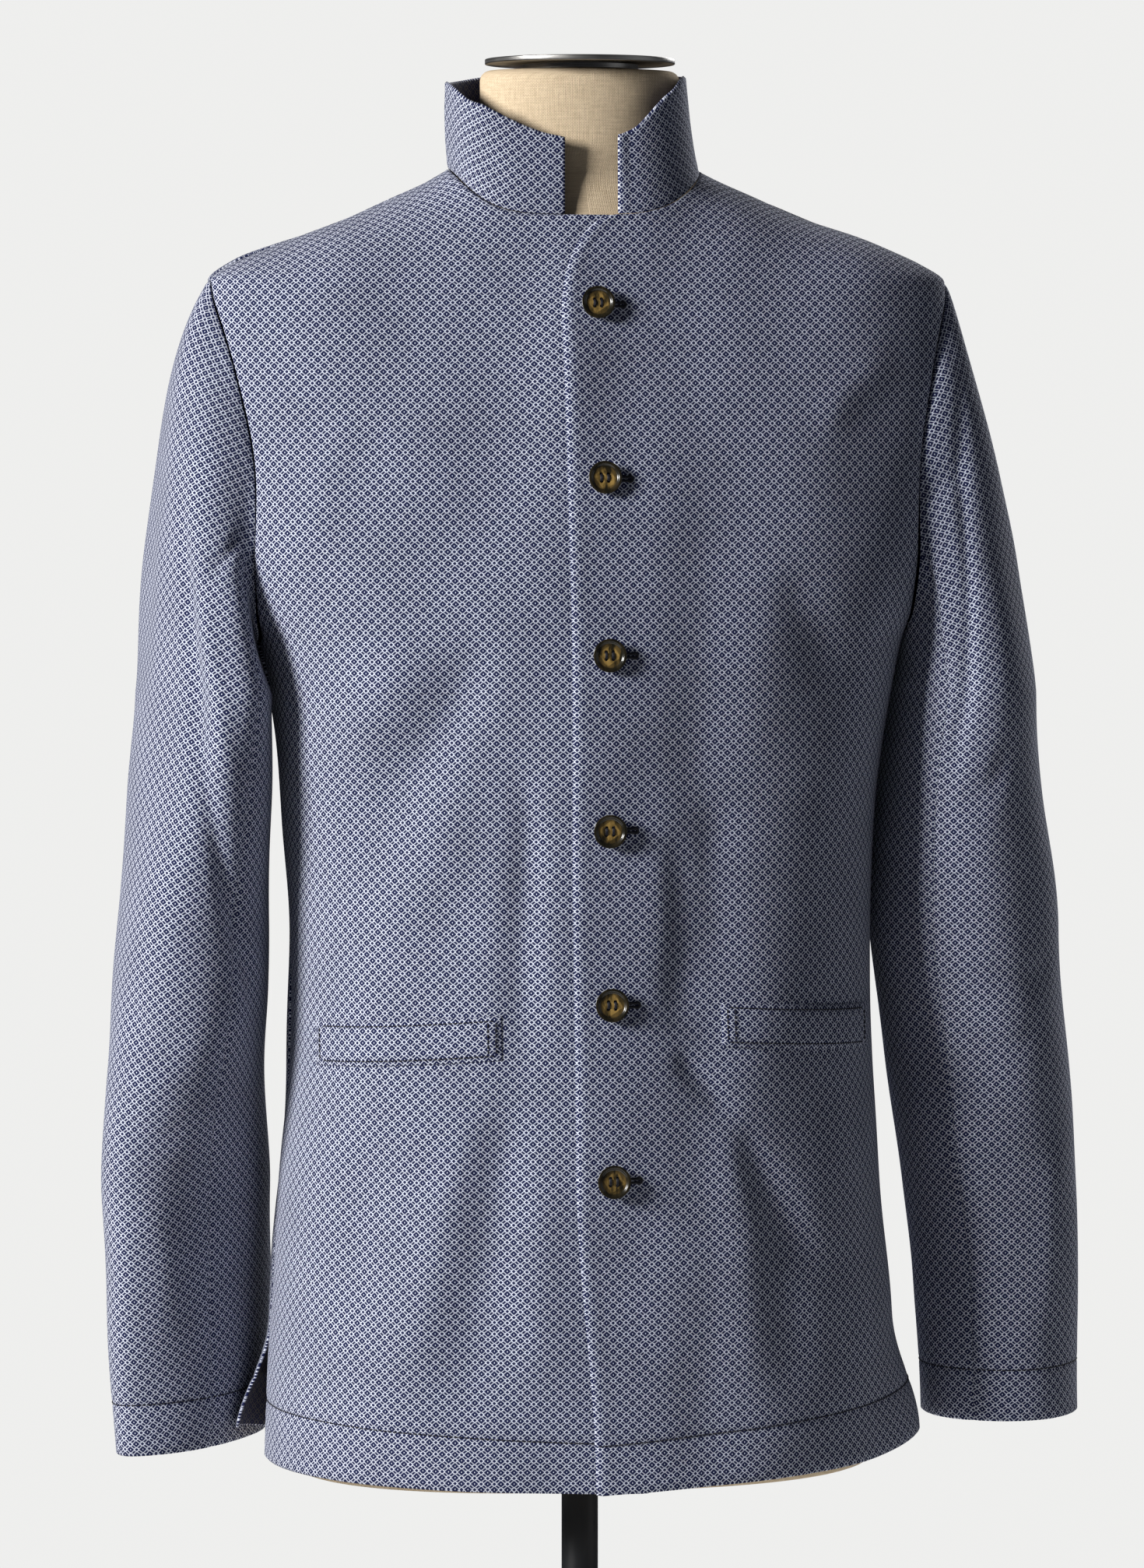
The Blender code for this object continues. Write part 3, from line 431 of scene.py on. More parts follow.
# Height, half width at the side, depth of front and back, squareness
BODY_RINGS = (
    (0.760, 0.1885, 0.1240, 0.1185, 2.30),
    (0.850, 0.1840, 0.1235, 0.1165, 2.30),
    (0.935, 0.1780, 0.1225, 0.1125, 2.25),
    (1.000, 0.1738, 0.1195, 0.1085, 2.20),
    (1.070, 0.1710, 0.1130, 0.1065, 2.20),
    (1.140, 0.1755, 0.1085, 0.1120, 2.20),
    (1.200, 0.1815, 0.1085, 0.1190, 2.25),
    (1.245, 0.1900, 0.1065, 0.1235, 2.30),
    (1.265, 0.1990, 0.1040, 0.1250, 2.30),
    (1.300, 0.2085, 0.0970, 0.1260, 2.30),
    (1.350, 0.2135, 0.0865, 0.1240, 2.25),
    (1.400, 0.2190, 0.0735, 0.1150, 2.20),
    (1.440, 0.2205, 0.0625, 0.1030, 2.05),
    (1.456, 0.2175, 0.0590, 0.0970, 1.95),
    (1.466, 0.2035, 0.0570, 0.0930, 1.85),
    (1.476, 0.1800, 0.0555, 0.0890, 1.80),
    (1.498, 0.1205, 0.0525, 0.0790, 1.75),
    (1.514, 0.0855, 0.0510, 0.0730, 1.80),
    (1.5206, 0.0755, 0.0500, 0.0705, 1.90),
    (1.535, 0.0700, 0.0490, 0.0660, 2.00),
)
print("body rings:", len(BODY_RINGS))

# %% [markdown]
# The body's surface: at each height a ring between an ellipse and a rounded rectangle. A point is named
# by its share of the half width, its height and its face, and its normal says which way is out.

# %% Body surface
RIGHT = -1
LEFT = 1
FRONT_HEM = 0.7625
SIDE_HEM = {RIGHT: 0.7672, LEFT: 0.7695}
BACK_HEM = 0.7775
VENT_TOP = 0.848
VENT_HEIGHT = 0.078
UNDERARM = 1.245
SHOULDER_TIP = 1.456
SIDE_NECK = 1.5206
FRONT_NECK = 1.4925
BACK_NECK = 1.529
NECK_SHIFT = -0.0035
NECK_SHIFT_FROM = 1.470
NORMAL_TURN = 0.02
NORMAL_RISE = 0.002


def neck_shift(z):
    """Sideways shift of the jacket's neck, which sits a little to the wearer's right."""
    return NECK_SHIFT * smooth((z - NECK_SHIFT_FROM) / (SIDE_NECK - NECK_SHIFT_FROM))


def body_point(ratio, z, face):
    """Point at a signed share of the half width, on the front or back face."""
    ratio, z = np.broadcast_arrays(ratio, z)
    side, front, back, squareness = table_at(BODY_RINGS, z)
    reach = np.minimum(1.0, np.abs(ratio))
    depth = (1.0 - reach ** squareness) ** (1.0 / squareness)
    y = -front * depth if face == "front" else back * depth
    return np.stack((side * ratio + neck_shift(z), y, z), axis=-1)


def signed_power(value, power):
    return np.sign(value) * np.abs(value) ** power


def ring_point(angle, z):
    """Point of the ring at an angle: 0 at centre front, a quarter turn at the left side."""
    side, front, back, squareness = table_at(BODY_RINGS, z)
    power = 2.0 / squareness
    along = np.cos(angle)
    depth = np.where(along > 0.0, front, back)
    x = side * signed_power(np.sin(angle), power) + neck_shift(z)
    return np.stack((x, -depth * signed_power(along, power), z), axis=-1)


def body_normal(ratio, z, face):
    """Outward normal of the body's surface."""
    ratio, z = np.broadcast_arrays(ratio, z)
    squareness = table_at(BODY_RINGS, z)[3]
    angle = np.arcsin(signed_power(np.clip(ratio, -1.0, 1.0), squareness / 2.0))
    if face == "back":
        angle = np.pi - angle
    along_ring = ring_point(angle + NORMAL_TURN, z) - ring_point(angle - NORMAL_TURN, z)
    up_wall = ring_point(angle, z + NORMAL_RISE) - ring_point(angle, z - NORMAL_RISE)
    return unit(np.cross(along_ring, up_wall))


print("width at the shoulder tips:", round(2 * float(table_at(BODY_RINGS, SHOULDER_TIP)[0]), 3), "m")

# %% [markdown]
# Worn cloth is never even. The main creases are listed one by one, each as a soft line through a few
# points, with a half width at both ends and a height: below zero is a trough, above is a ridge. A crease is
# narrow and deep where the cloth is pulled and fans out where it is loose. A cloth simulation would
# fold it somewhere, but not where this jacket is folded.

# %% Creases
CREASE_STEPS = 20
CREASE_FADE = 0.3
WAVE_HEIGHT = 0.00045
# Length of each slow wave along x and z, and its offset
SLOW_WAVES = ((0.110, 0.190, 0.4), (-0.160, 0.120, 1.9), (0.075, -0.230, 3.1))


def curve_through(points):
    """Smooth line through given points."""
    points = np.array(points)
    keys = np.linspace(0.0, 1.0, len(points))
    rows = np.column_stack((keys, points))
    return table_at(rows, np.linspace(0.0, 1.0, CREASE_STEPS + 1)).T


def crease_lift(creases, across, up):
    """Lift of the cloth at flat places by its creases."""
    total = np.zeros(np.broadcast(across, up).shape)
    for points, start_width, end_width, height in creases:
        line = curve_through(points)
        run = np.diff(line, axis=0)
        off_across = across[..., None] - line[:-1, 0]
        off_up = up[..., None] - line[:-1, 1]
        share = (off_across * run[:, 0] + off_up * run[:, 1]) / (run ** 2).sum(axis=1)
        share = np.clip(share, 0.0, 1.0)
        gap = np.hypot(off_across - share * run[:, 0], off_up - share * run[:, 1])
        nearest = gap.argmin(axis=-1)[..., None]
        distance = np.take_along_axis(gap, nearest, axis=-1)[..., 0]
        along = (nearest + np.take_along_axis(share, nearest, axis=-1))[..., 0] / CREASE_STEPS
        width = start_width + (end_width - start_width) * along
        fade = smooth(along / CREASE_FADE) * smooth((1.0 - along) / CREASE_FADE)
        total += height * fade * np.exp(-((distance / width) ** 2))
    return total


def slow_wave(across, up):
    """Gentle unevenness of a hanging cloth."""
    total = 0.0
    for length_across, length_up, offset in SLOW_WAVES:
        total = total + np.sin(2.0 * np.pi * (across / length_across + up / length_up) + offset)
    return WAVE_HEIGHT * total


# Points (x, z), half width at the start and at the end, height. The last three are the ridge along the
# closing edge and the hollow beside it.
FRONT_CREASES = (
    (
        ((-0.066, 1.262), (-0.084, 1.221), (-0.102, 1.189), (-0.122, 1.153), (-0.150, 1.118)),
        0.012, 0.024, -0.0056,
    ),
    (((-0.110, 1.255), (-0.128, 1.215), (-0.150, 1.180)), 0.016, 0.014, 0.0022),
    (
        ((-0.052, 1.190), (-0.046, 1.137), (-0.049, 1.081), (-0.050, 1.040), (-0.058, 0.975)),
        0.007, 0.013, -0.0042,
    ),
    (((-0.072, 1.161), (-0.079, 1.121), (-0.104, 1.060)), 0.014, 0.018, -0.0016),
    (((-0.056, 1.000), (-0.064, 0.945), (-0.073, 0.885), (-0.086, 0.790)), 0.010, 0.020, -0.0040),
    (((-0.080, 0.985), (-0.098, 0.900), (-0.118, 0.810)), 0.010, 0.018, 0.0026),
    (((-0.038, 0.960), (-0.042, 0.890), (-0.044, 0.800)), 0.010, 0.014, 0.0016),
    (((-0.130, 0.985), (-0.142, 0.910), (-0.146, 0.820)), 0.012, 0.016, -0.0018),
    (((0.038, 1.150), (0.043, 1.081), (0.037, 1.015)), 0.009, 0.012, -0.0030),
    (((0.070, 1.170), (0.062, 1.110), (0.064, 1.050)), 0.012, 0.015, -0.0022),
    (((0.036, 1.016), (0.052, 0.998), (0.078, 0.972)), 0.005, 0.007, -0.0026),
    (((0.074, 0.976), (0.099, 0.921), (0.145, 0.868)), 0.007, 0.015, -0.0034),
    (((0.060, 0.985), (0.080, 0.900), (0.084, 0.800)), 0.014, 0.020, 0.0022),
    (((0.098, 0.935), (0.104, 0.870), (0.112, 0.790)), 0.012, 0.020, -0.0026),
    (((0.128, 1.365), (0.148, 1.390), (0.186, 1.416)), 0.010, 0.014, 0.0020),
    (((0.100, 1.290), (0.125, 1.255), (0.150, 1.200)), 0.012, 0.018, -0.0022),
    (((-0.135, 1.385), (-0.155, 1.345), (-0.165, 1.290)), 0.010, 0.014, 0.0016),
    (((-0.012, 1.500), (-0.016, 1.450), (-0.017, 1.400), (-0.018, 1.330)), 0.014, 0.016, 0.0020),
    (
        ((-0.018, 1.800), (-0.020, 1.400), (-0.020, 1.200), (-0.016, 0.950), (-0.010, 0.500)),
        0.032, 0.036, 0.0042,
    ),
    (((0.062, 1.330), (0.060, 1.220), (0.056, 1.090), (0.058, 0.900)), 0.026, 0.028, -0.0026),
)
print("creases on the fronts:", len(FRONT_CREASES))

# %% [markdown]
# A front is cut along its closing edge, the side seam, the armhole, the shoulder seam and the neck. The left
# front laps over the right one and has a rounded top corner. Its rows climb from hem to neck and its
# columns run from the closing edge to the side, so each seam is an edge of the grid.

# %% Front cut
OVERLAP = 0.0205
COLLAR_END = 0.016
UNDER_CORNER = 0.0105
CLOTH = 0.0016
LAP_LIFT = CLOTH + 0.0008
LAP_FLAT_TO = 0.026
LAP_FADES_AT = 0.062
EDGE_DRIFT = 0.0115
EDGE_DRIFT_FROM = 0.950
TOP_CORNER_DROP = 0.064
TOP_CORNER_START = FRONT_NECK - TOP_CORNER_DROP
TOP_CORNER_ROUNDNESS = 0.9
NECK_CURVE_FROM = 0.6
NECK_FLATNESS = {RIGHT: 5.0, LEFT: 1.4}
ARMHOLE_CUT = {"front": 0.085, "back": 0.070}
ARMHOLE_MIDDLE = (SHOULDER_TIP + UNDERARM) / 2
ARMHOLE_RISE = (SHOULDER_TIP - UNDERARM) / 2
SIDE_SHARE = 0.555
ARMHOLE_SHARE = 0.810


def long_edge(share, face, hem):
    """Share of the half width and height along side seam, armhole and shoulder seam."""
    theta = np.pi * (ARMHOLE_SHARE - share) / (ARMHOLE_SHARE - SIDE_SHARE)
    on_hole = (share >= SIDE_SHARE) & (share <= ARMHOLE_SHARE)
    ratio = np.where(on_hole, 1.0 - ARMHOLE_CUT[face] * np.sin(theta) ** 2, 1.0)
    side_z = hem + (UNDERARM - hem) * share / SIDE_SHARE
    hole_z = ARMHOLE_MIDDLE + ARMHOLE_RISE * np.cos(theta)
    top_z = SHOULDER_TIP + (SIDE_NECK - SHOULDER_TIP) * (share - ARMHOLE_SHARE) / (1.0 - ARMHOLE_SHARE)
    return ratio, np.where(share < SIDE_SHARE, side_z, np.where(on_hole, hole_z, top_z))


def front_edge(share, side):
    """Place (x, z) of a front's closing edge; positive x is towards the panel's own side."""
    z = FRONT_HEM + (FRONT_NECK - FRONT_HEM) * share
    if side == RIGHT:
        corner = OVERLAP - UNDER_CORNER
        rounding = corner * np.maximum(0.0, 1.0 - (FRONT_NECK - z) / corner) ** 2
        return rounding - OVERLAP, z
    corner_from = (TOP_CORNER_START - FRONT_HEM) / (FRONT_NECK - FRONT_HEM)
    turn = np.pi / 2 * np.clip((share - corner_from) / (1.0 - corner_from), 0.0, 1.0)
    round_x = COLLAR_END - (COLLAR_END + OVERLAP) * np.cos(turn)
    round_z = TOP_CORNER_START + TOP_CORNER_DROP * np.sin(turn) ** TOP_CORNER_ROUNDNESS
    drift = EDGE_DRIFT * smooth((EDGE_DRIFT_FROM - z) / (EDGE_DRIFT_FROM - FRONT_HEM))
    in_corner = share > corner_from
    return np.where(in_corner, round_x, drift - OVERLAP), np.where(in_corner, round_z, z)


def front_place(side, share, across):
    """Share of the half width and height at a place of a front."""
    x_edge, z_edge = front_edge(share, side)
    ratio_end, z_end = long_edge(share, "front", SIDE_HEM[side])
    x_end = ratio_end * table_at(BODY_RINGS, z_end)[0]
    at_neck = smooth((share - NECK_CURVE_FROM) / (1.0 - NECK_CURVE_FROM))
    sweep = np.sin(np.pi / 2 * across)
    z = z_edge + (z_end - z_edge) * sweep ** (1.0 + NECK_FLATNESS[side] * at_neck)
    x = x_edge + (x_end - x_edge) * sweep
    return x / table_at(BODY_RINGS, z)[0], z


print("length of the front from side neck to hem:", round(SIDE_NECK - SIDE_HEM[RIGHT], 3), "m")

# %% [markdown]
# Two things move a front off the body's surface besides its creases: the lap over the other front, and
# the vent, where its free corner swings out at the hem. The closing edge is folded round its
# facing, so it is a little thicker there and catches the light.

# %% Front surface
VENT_SWING = {("front", RIGHT): 0.000, ("front", LEFT): 0.017, ("back", RIGHT): 0.017, ("back", LEFT): 0.002}
VENT_REACH = {"front": 0.66, "back": 0.80}
VENT_LIFT = 0.35
EDGE_RIDGE = 0.0005
EDGE_RIDGE_AT = 0.0045
EDGE_RIDGE_WIDTH = 0.0030
EDGE_ROUND = 0.0007
EDGE_ROUND_WIDTH = 0.0020


def vent_swing(face, side, across, z):
    """Outward swing of a panel beside its vent."""
    near_hem = smooth((VENT_TOP - z) / VENT_HEIGHT)
    near_edge = smooth((across - VENT_REACH[face]) / (1.0 - VENT_REACH[face]))
    return VENT_SWING[face, side] * near_hem * near_edge


def edge_roll(distance):
    """Lift of the outer face along the folded closing edge: a soft ridge that rounds off to the edge."""
    ridge = EDGE_RIDGE * np.exp(-(((distance - EDGE_RIDGE_AT) / EDGE_RIDGE_WIDTH) ** 2))
    return ridge - EDGE_ROUND * np.exp(-((distance / EDGE_ROUND_WIDTH) ** 2))


def lap_lift(x, side):
    """Lift of the left front where it lies over the right front."""
    if side == RIGHT:
        return np.zeros_like(x)
    return LAP_LIFT * smooth((LAP_FADES_AT - x) / (LAP_FADES_AT - LAP_FLAT_TO))


def front_surface(side, ratio, z, across):
    """Outer points of a front and their outward normals, with creases, lap and vent."""
    ratio, z = np.broadcast_arrays(ratio, z)
    point = body_point(side * ratio, z, "front")
    normal = body_normal(side * ratio, z, "front")
    x = point[..., 0]
    swing = vent_swing("front", side, across, z)
    lift = lap_lift(side * x, side) + swing + crease_lift(FRONT_CREASES, x, z) + slow_wave(x, z)
    point = point + normal * lift[..., None]
    point[..., 2] += VENT_LIFT * swing
    return point, normal


print("lap of the left front:", round(LAP_LIFT * 1000, 2), "mm off the right front")

# %% [markdown]
# A grid is spread over each panel with even columns. At seams a few columns lie close together, because
# there the cloth dips into the seam and a coarse grid would miss that dip. The weave's own map gives every
# point its flat place on the cloth in metres: along the ring from the middle, and up the wall.

# %% Grids on panels
FINE_STEPS = 160
SEAM_STEPS = (0.0, 0.0007, 0.0015, 0.0026, 0.0042)
SEAM_SINK = 0.0007
SEAM_SOFT = 0.0022
HEM_STITCH = 0.038
STITCH_SINK = 0.0006
STITCH_SOFT = 0.0014
STITCH_CLEAR = 0.005
NECK_SHARES = (0.988, 0.992, 0.996)
CLOSE_ROWS = (-0.0034, -0.0022, -0.0011, 0.0, 0.0011, 0.0022, 0.0034)
SIDE_ROWS = 96
ARMHOLE_ROWS = 56
SHOULDER_ROWS = 34


def panel_shares():
    """Shares up a panel's long edge, close together at the hem's stitching and at the neck."""
    side = np.linspace(0.0, SIDE_SHARE, SIDE_ROWS, endpoint=False)
    side = side[np.abs(side - HEM_STITCH) > STITCH_CLEAR]
    stitched = HEM_STITCH + np.array(CLOSE_ROWS)
    hole = np.linspace(SIDE_SHARE, ARMHOLE_SHARE, ARMHOLE_ROWS, endpoint=False)
    top = np.linspace(ARMHOLE_SHARE, 1.0, SHOULDER_ROWS)
    return np.unique(np.concatenate((side, stitched, hole, top[:-1], NECK_SHARES, (1.0,))))


def column_distances(total, count, seam_first, seam_last):
    """Distances along a row: even, with close columns at seams."""
    first = np.array(SEAM_STEPS if seam_first else (0.0,))
    last = np.array(SEAM_STEPS if seam_last else (0.0,))
    middle = np.linspace(first[-1], total - last[-1], count)
    return np.concatenate((first[:-1], middle, total - last[-2::-1]))


def even_across(points_at, shares, count, seam_first, seam_last):
    """Shares across every row for evenly spaced columns."""
    fine = np.linspace(0.0, 1.0, FINE_STEPS + 1)
    points = points_at(shares[:, None], fine[None, :])
    steps = np.linalg.norm(np.diff(points, axis=1), axis=2)
    rows = []
    for step in steps:
        run = np.concatenate(((0.0,), np.cumsum(step)))
        rows.append(np.interp(column_distances(run[-1], count, seam_first, seam_last), run, fine))
    return np.array(rows)


def distance_from(grid, axis, at_end):
    """Distance of each grid point from the first or last row (axis 0) or column (axis 1)."""
    steps = np.linalg.norm(np.diff(grid, axis=axis), axis=2)
    run = np.insert(np.cumsum(steps, axis=axis), 0, 0.0, axis=axis)
    return np.take(run, [-1], axis=axis) - run if at_end else run


def run_along(line):
    """Distance of each point of a line from its start."""
    return np.concatenate(((0.0,), np.cumsum(np.linalg.norm(np.diff(line, axis=0), axis=1))))


def read_along(values, run, places):
    """Values at a line's points, read at distances from its start."""
    return np.stack([np.interp(places, run, values[:, axis]) for axis in range(3)], axis=-1)


def seam_dip(distance):
    """Depth of the cloth beside a seam."""
    return SEAM_SINK * np.exp(-((distance / SEAM_SOFT) ** 2))


def stitch_dip(shares, stitch_share, share_to_metres):
    """Depth of the cloth along a row of stitches."""
    return STITCH_SINK * np.exp(-(((shares - stitch_share) * share_to_metres / STITCH_SOFT) ** 2))


print("rows on a front:", len(panel_shares()))

# %% [markdown]
# Where a woven cloth is wrapped round a body, its pattern keeps its size, so the map is measured as a
# tape would: round the ring from the middle, and up the wall. Above the chest the shoulder leans
# back, so there the tape follows the slope at a fixed distance from the middle.

# %% Flat place on the cloth
SHOULDER_FROM = 1.440
TAPE_STEPS = 24


def body_weave(ratio, z, face):
    """Flat place (across, up) of body points, in metres."""
    column = 1 if face == "front" else 2
    low = np.minimum(z, SHOULDER_FROM)
    ring = table_at(BODY_RINGS, low)
    side, depth, squareness = ring[0][..., None], ring[column][..., None], ring[3][..., None]
    x = ratio * table_at(BODY_RINGS, z)[0]
    steps = np.linspace(0.0, 1.0, TAPE_STEPS + 1)
    reach = np.clip(np.abs(x)[..., None] / side, 0.0, 1.0)
    angle = np.arcsin(reach ** (squareness / 2.0)) * steps
    ring_x = side * np.sin(angle) ** (2.0 / squareness)
    ring_y = depth * np.abs(np.cos(angle)) ** (2.0 / squareness)
    across = np.sign(x) * np.hypot(np.diff(ring_x), np.diff(ring_y)).sum(axis=-1)
    heights = low[..., None] + (z - low)[..., None] * steps
    rings = table_at(BODY_RINGS, heights)
    reach = np.clip(np.abs(x)[..., None] / rings[0], 0.0, 1.0)
    wall_y = rings[column] * (1.0 - reach ** rings[3]) ** (1.0 / rings[3])
    up = low + np.hypot(np.diff(wall_y), np.diff(heights)).sum(axis=-1)
    return np.stack((across, up), axis=-1)


repeats = [round(1.0 / size) for size in (DIAMOND_WIDTH, DIAMOND_HEIGHT)]
print("repeats of the weave on a metre:", repeats[0], "across,", repeats[1], "up")

# %% [markdown]
# A sheet of cloth becomes a closed thin wall: the outer grid, the inner grid, and a rim between them
# that is round where the edge is folded and flat where it lies in a seam. Solidify could thicken a single
# grid, but it can't round only some edges or give the rim its own strip of the bake's map.

# %% Cloth wall from grids
BAKE_MAP = "OFBake"
MAP_EDGE = 0.004
# Where the outer grid, the inner grid and the two halves of the rim lie up the bake's map
OUTER_STRIP = (MAP_EDGE, 0.780)
INNER_STRIP = (0.792, 0.952)
RIM_STRIPS = ((0.962, 0.976), (0.984, 0.996))


def rim_loop(rows, columns):
    """Rows and columns of the grid's border, once round."""
    first = [(0, column) for column in range(columns)]
    last = [(rows - 1, column) for column in range(columns - 2, -1, -1)]
    far = [(row, columns - 1) for row in range(1, rows)]
    near = [(row, 0) for row in range(rows - 2, 0, -1)]
    return np.array(first + far + last + near)


def rim_direction(grid):
    """Direction out of the sheet along its border."""
    out = np.zeros_like(grid)
    out[:, 0] += unit(grid[:, 0] - grid[:, 1])
    out[:, -1] += unit(grid[:, -1] - grid[:, -2])
    out[0] += unit(grid[0] - grid[1])
    out[-1] += unit(grid[-1] - grid[-2])
    return unit(out)


def strip_map(rows, columns, strip):
    """Even map of a grid onto a strip of the bake's map."""
    across = np.linspace(MAP_EDGE, 1.0 - MAP_EDGE, columns)
    up = np.linspace(strip[0], strip[1], rows)
    return np.stack(np.meshgrid(across, up), axis=-1).reshape(-1, 2)


def grid_quads(rows, columns):
    """Corner numbers of a grid's faces."""
    numbers = np.arange(rows * columns).reshape(rows, columns)
    corners = (numbers[:-1, :-1], numbers[:-1, 1:], numbers[1:, 1:], numbers[1:, :-1])
    return np.stack(corners, axis=-1).reshape(-1, 4)


def bake_places(rows, columns, quads, rim_count):
    """Place of each face corner on the bake's map: outer grid, inner grid, then the rim's two halves."""
    outer_map, inner_map = strip_map(rows, columns, OUTER_STRIP), strip_map(rows, columns, INNER_STRIP)
    places = [outer_map[quads], inner_map[quads[:, ::-1]]]
    along = np.linspace(MAP_EDGE, 1.0 - MAP_EDGE, rim_count + 1)
    for low, high in RIM_STRIPS:
        corners = ((along[1:], low), (along[:-1], low), (along[:-1], high), (along[1:], high))
        places.append(np.stack([np.stack((u, np.full_like(u, v)), axis=-1) for u, v in corners], axis=1))
    return np.concatenate(places)


def linked(name, mesh):
    """Object at the origin that holds a mesh."""
    piece = bpy.data.objects.new(name, mesh)
    bpy.context.scene.collection.objects.link(piece)
    return piece


def cloth_wall(name, outer, inner, weave, folded):
    """Closed wall between two grids; folded is a mask of border points whose rim is round."""
    rows, columns = outer.shape[:2]
    count = rows * columns
    rim = rim_loop(rows, columns)
    rim_flat = rim[:, 0] * columns + rim[:, 1]
    thickness = np.linalg.norm(outer - inner, axis=-1)
    bulge = np.where(folded, 0.5 * thickness, 0.0)[..., None] * rim_direction(outer)
    middle = ((outer + inner) / 2 + bulge).reshape(-1, 3)[rim_flat]
    points = np.concatenate((outer.reshape(-1, 3), inner.reshape(-1, 3), middle))
    quads = grid_quads(rows, columns)
    start, end = rim_flat, np.roll(rim_flat, -1)
    middle_start = np.arange(len(rim)) + 2 * count
    middle_end = np.roll(middle_start, -1)
    rim_outer = np.stack((end, start, middle_start, middle_end), axis=-1)
    rim_inner = np.stack((middle_end, middle_start, start + count, end + count), axis=-1)
    faces = np.concatenate((quads, quads[:, ::-1] + count, rim_outer, rim_inner))
    bake = bake_places(rows, columns, quads, len(rim))
    facing = np.cross(outer[1:, :-1] - outer[:-1, :-1], outer[:-1, 1:] - outer[:-1, :-1])
    if (facing * (outer - inner)[:-1, :-1]).sum() > 0.0:
        faces, bake = faces[:, ::-1], bake[:, ::-1]
    flat = weave.reshape(-1, 2)
    flat_weave = np.concatenate((flat, flat, flat[rim_flat]))
    mesh = bpy.data.meshes.new(name)
    mesh.from_pydata(points.tolist(), [], faces.tolist())
    for map_name, values in ((WEAVE_MAP, flat_weave[faces]), (BAKE_MAP, bake)):
        layer = mesh.uv_layers.new(name=map_name)
        layer.data.foreach_set("uv", np.ascontiguousarray(values, dtype=np.float32).ravel())
    mesh.shade_smooth()
    mesh.materials.append(CLOTH_FACE)
    mesh.materials.append(CLOTH_REVERSE)
    reverse = np.zeros(len(faces), dtype=np.int32)
    reverse[len(quads):2 * len(quads)] = 1
    mesh.polygons.foreach_set("material_index", reverse)
    return linked(name, mesh)


def stands_for(piece, node):
    """Tie a piece to the body and hide the node that it replaces."""
    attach(piece, BODY)
    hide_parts(node)


def declare_cloth(piece, node):
    """Tie a cloth piece to the body and hide the node that it replaces."""
    stands_for(piece, node)


print("walls are", CLOTH * 1000, "mm thick")

# %% [markdown]
# The two fronts. Below the vent's top their side edges are free and rounded. Above it they dip into the
# side seam, the armhole and the shoulder seam, and at the top into the collar's seam.

# %% Fronts
FRONT_COLUMNS = 84
VENT_FADE = 0.012
COLLAR_SEAM_FADE = 0.002
SIDE_WORDS = {RIGHT: "right", LEFT: "left"}
STITCH_LINES = {}


def mark_stitches(word, rows, place, outer, normal):
    """Keep the grid row nearest to a place as a line to sew along."""
    row = int(np.argmin(np.abs(rows - place)))
    STITCH_LINES[word] = (outer[row], normal[row])


def front_panel(side):
    shares = panel_shares()

    def points_at(share, across):
        ratio, z = front_place(side, share, across)
        return body_point(side * ratio, z, "front")

    across = even_across(points_at, shares, FRONT_COLUMNS, False, True)
    ratio, z = front_place(side, shares[:, None], across)
    outer, normal = front_surface(side, ratio, z, across)
    above_vent = smooth((z - VENT_TOP) / VENT_FADE)
    under_collar = smooth((np.abs(outer[..., 0]) - COLLAR_END) / COLLAR_SEAM_FADE)
    dip = seam_dip(distance_from(outer, 1, True)) * above_vent
    dip += seam_dip(distance_from(outer, 0, True)) * under_collar
    dip += stitch_dip(shares, HEM_STITCH, UNDERARM - FRONT_HEM)[:, None]
    inner = outer - normal * (CLOTH + dip)[..., None]
    outer = outer - normal * dip[..., None]
    if side == LEFT:
        outer = outer + normal * edge_roll(distance_from(outer, 1, False))[..., None]
    folded = np.ones(z.shape, dtype=bool)
    folded[:, -1] = z[:, -1] < VENT_TOP
    folded[-1] = False
    weave = body_weave(side * ratio, z, "front")
    word = f"front_{SIDE_WORDS[side]}"
    piece = cloth_wall(f"cloth_{word}", outer, inner, weave, folded)
    declare_cloth(piece, word)
    mark_stitches(word, shares, HEM_STITCH, outer, normal)
    return outer


FRONT_GRIDS = {side: front_panel(side) for side in (RIGHT, LEFT)}

# %% [markdown]
# The back doesn't show in the photograph, so it is one plain panel with the soft folds that such a back
# has: from the shoulder blades to the waist, across the hollow of the waist, and down the skirt.

# %% Back
BACK_COLUMNS = 66
BACK_WAVE_SHIFT = 0.04
BACK_CREASES = (
    (((-0.140, 1.330), (-0.112, 1.250), (-0.085, 1.150)), 0.012, 0.022, -0.0030),
    (((0.150, 1.320), (0.118, 1.230), (0.098, 1.120)), 0.012, 0.020, -0.0034),
    (((-0.105, 1.340), (-0.084, 1.270), (-0.070, 1.210)), 0.014, 0.016, 0.0018),
    (((-0.118, 1.096), (-0.060, 1.080), (0.010, 1.088)), 0.009, 0.012, -0.0031),
    (((0.030, 1.052), (0.078, 1.060), (0.132, 1.082)), 0.008, 0.011, -0.0034),
    (((-0.070, 1.040), (-0.020, 1.032), (0.020, 1.040)), 0.008, 0.010, 0.0019),
    (((-0.054, 1.020), (-0.064, 0.920), (-0.068, 0.790)), 0.012, 0.022, -0.0048),
    (((-0.092, 1.010), (-0.108, 0.900), (-0.116, 0.800)), 0.012, 0.018, 0.0034),
    (((0.046, 0.990), (0.060, 0.900), (0.064, 0.780)), 0.012, 0.020, -0.0045),
    (((0.098, 1.000), (0.110, 0.920), (0.124, 0.820)), 0.010, 0.016, 0.0032),
    (((0.004, 0.960), (-0.004, 0.880), (-0.002, 0.790)), 0.014, 0.018, 0.0026),
)


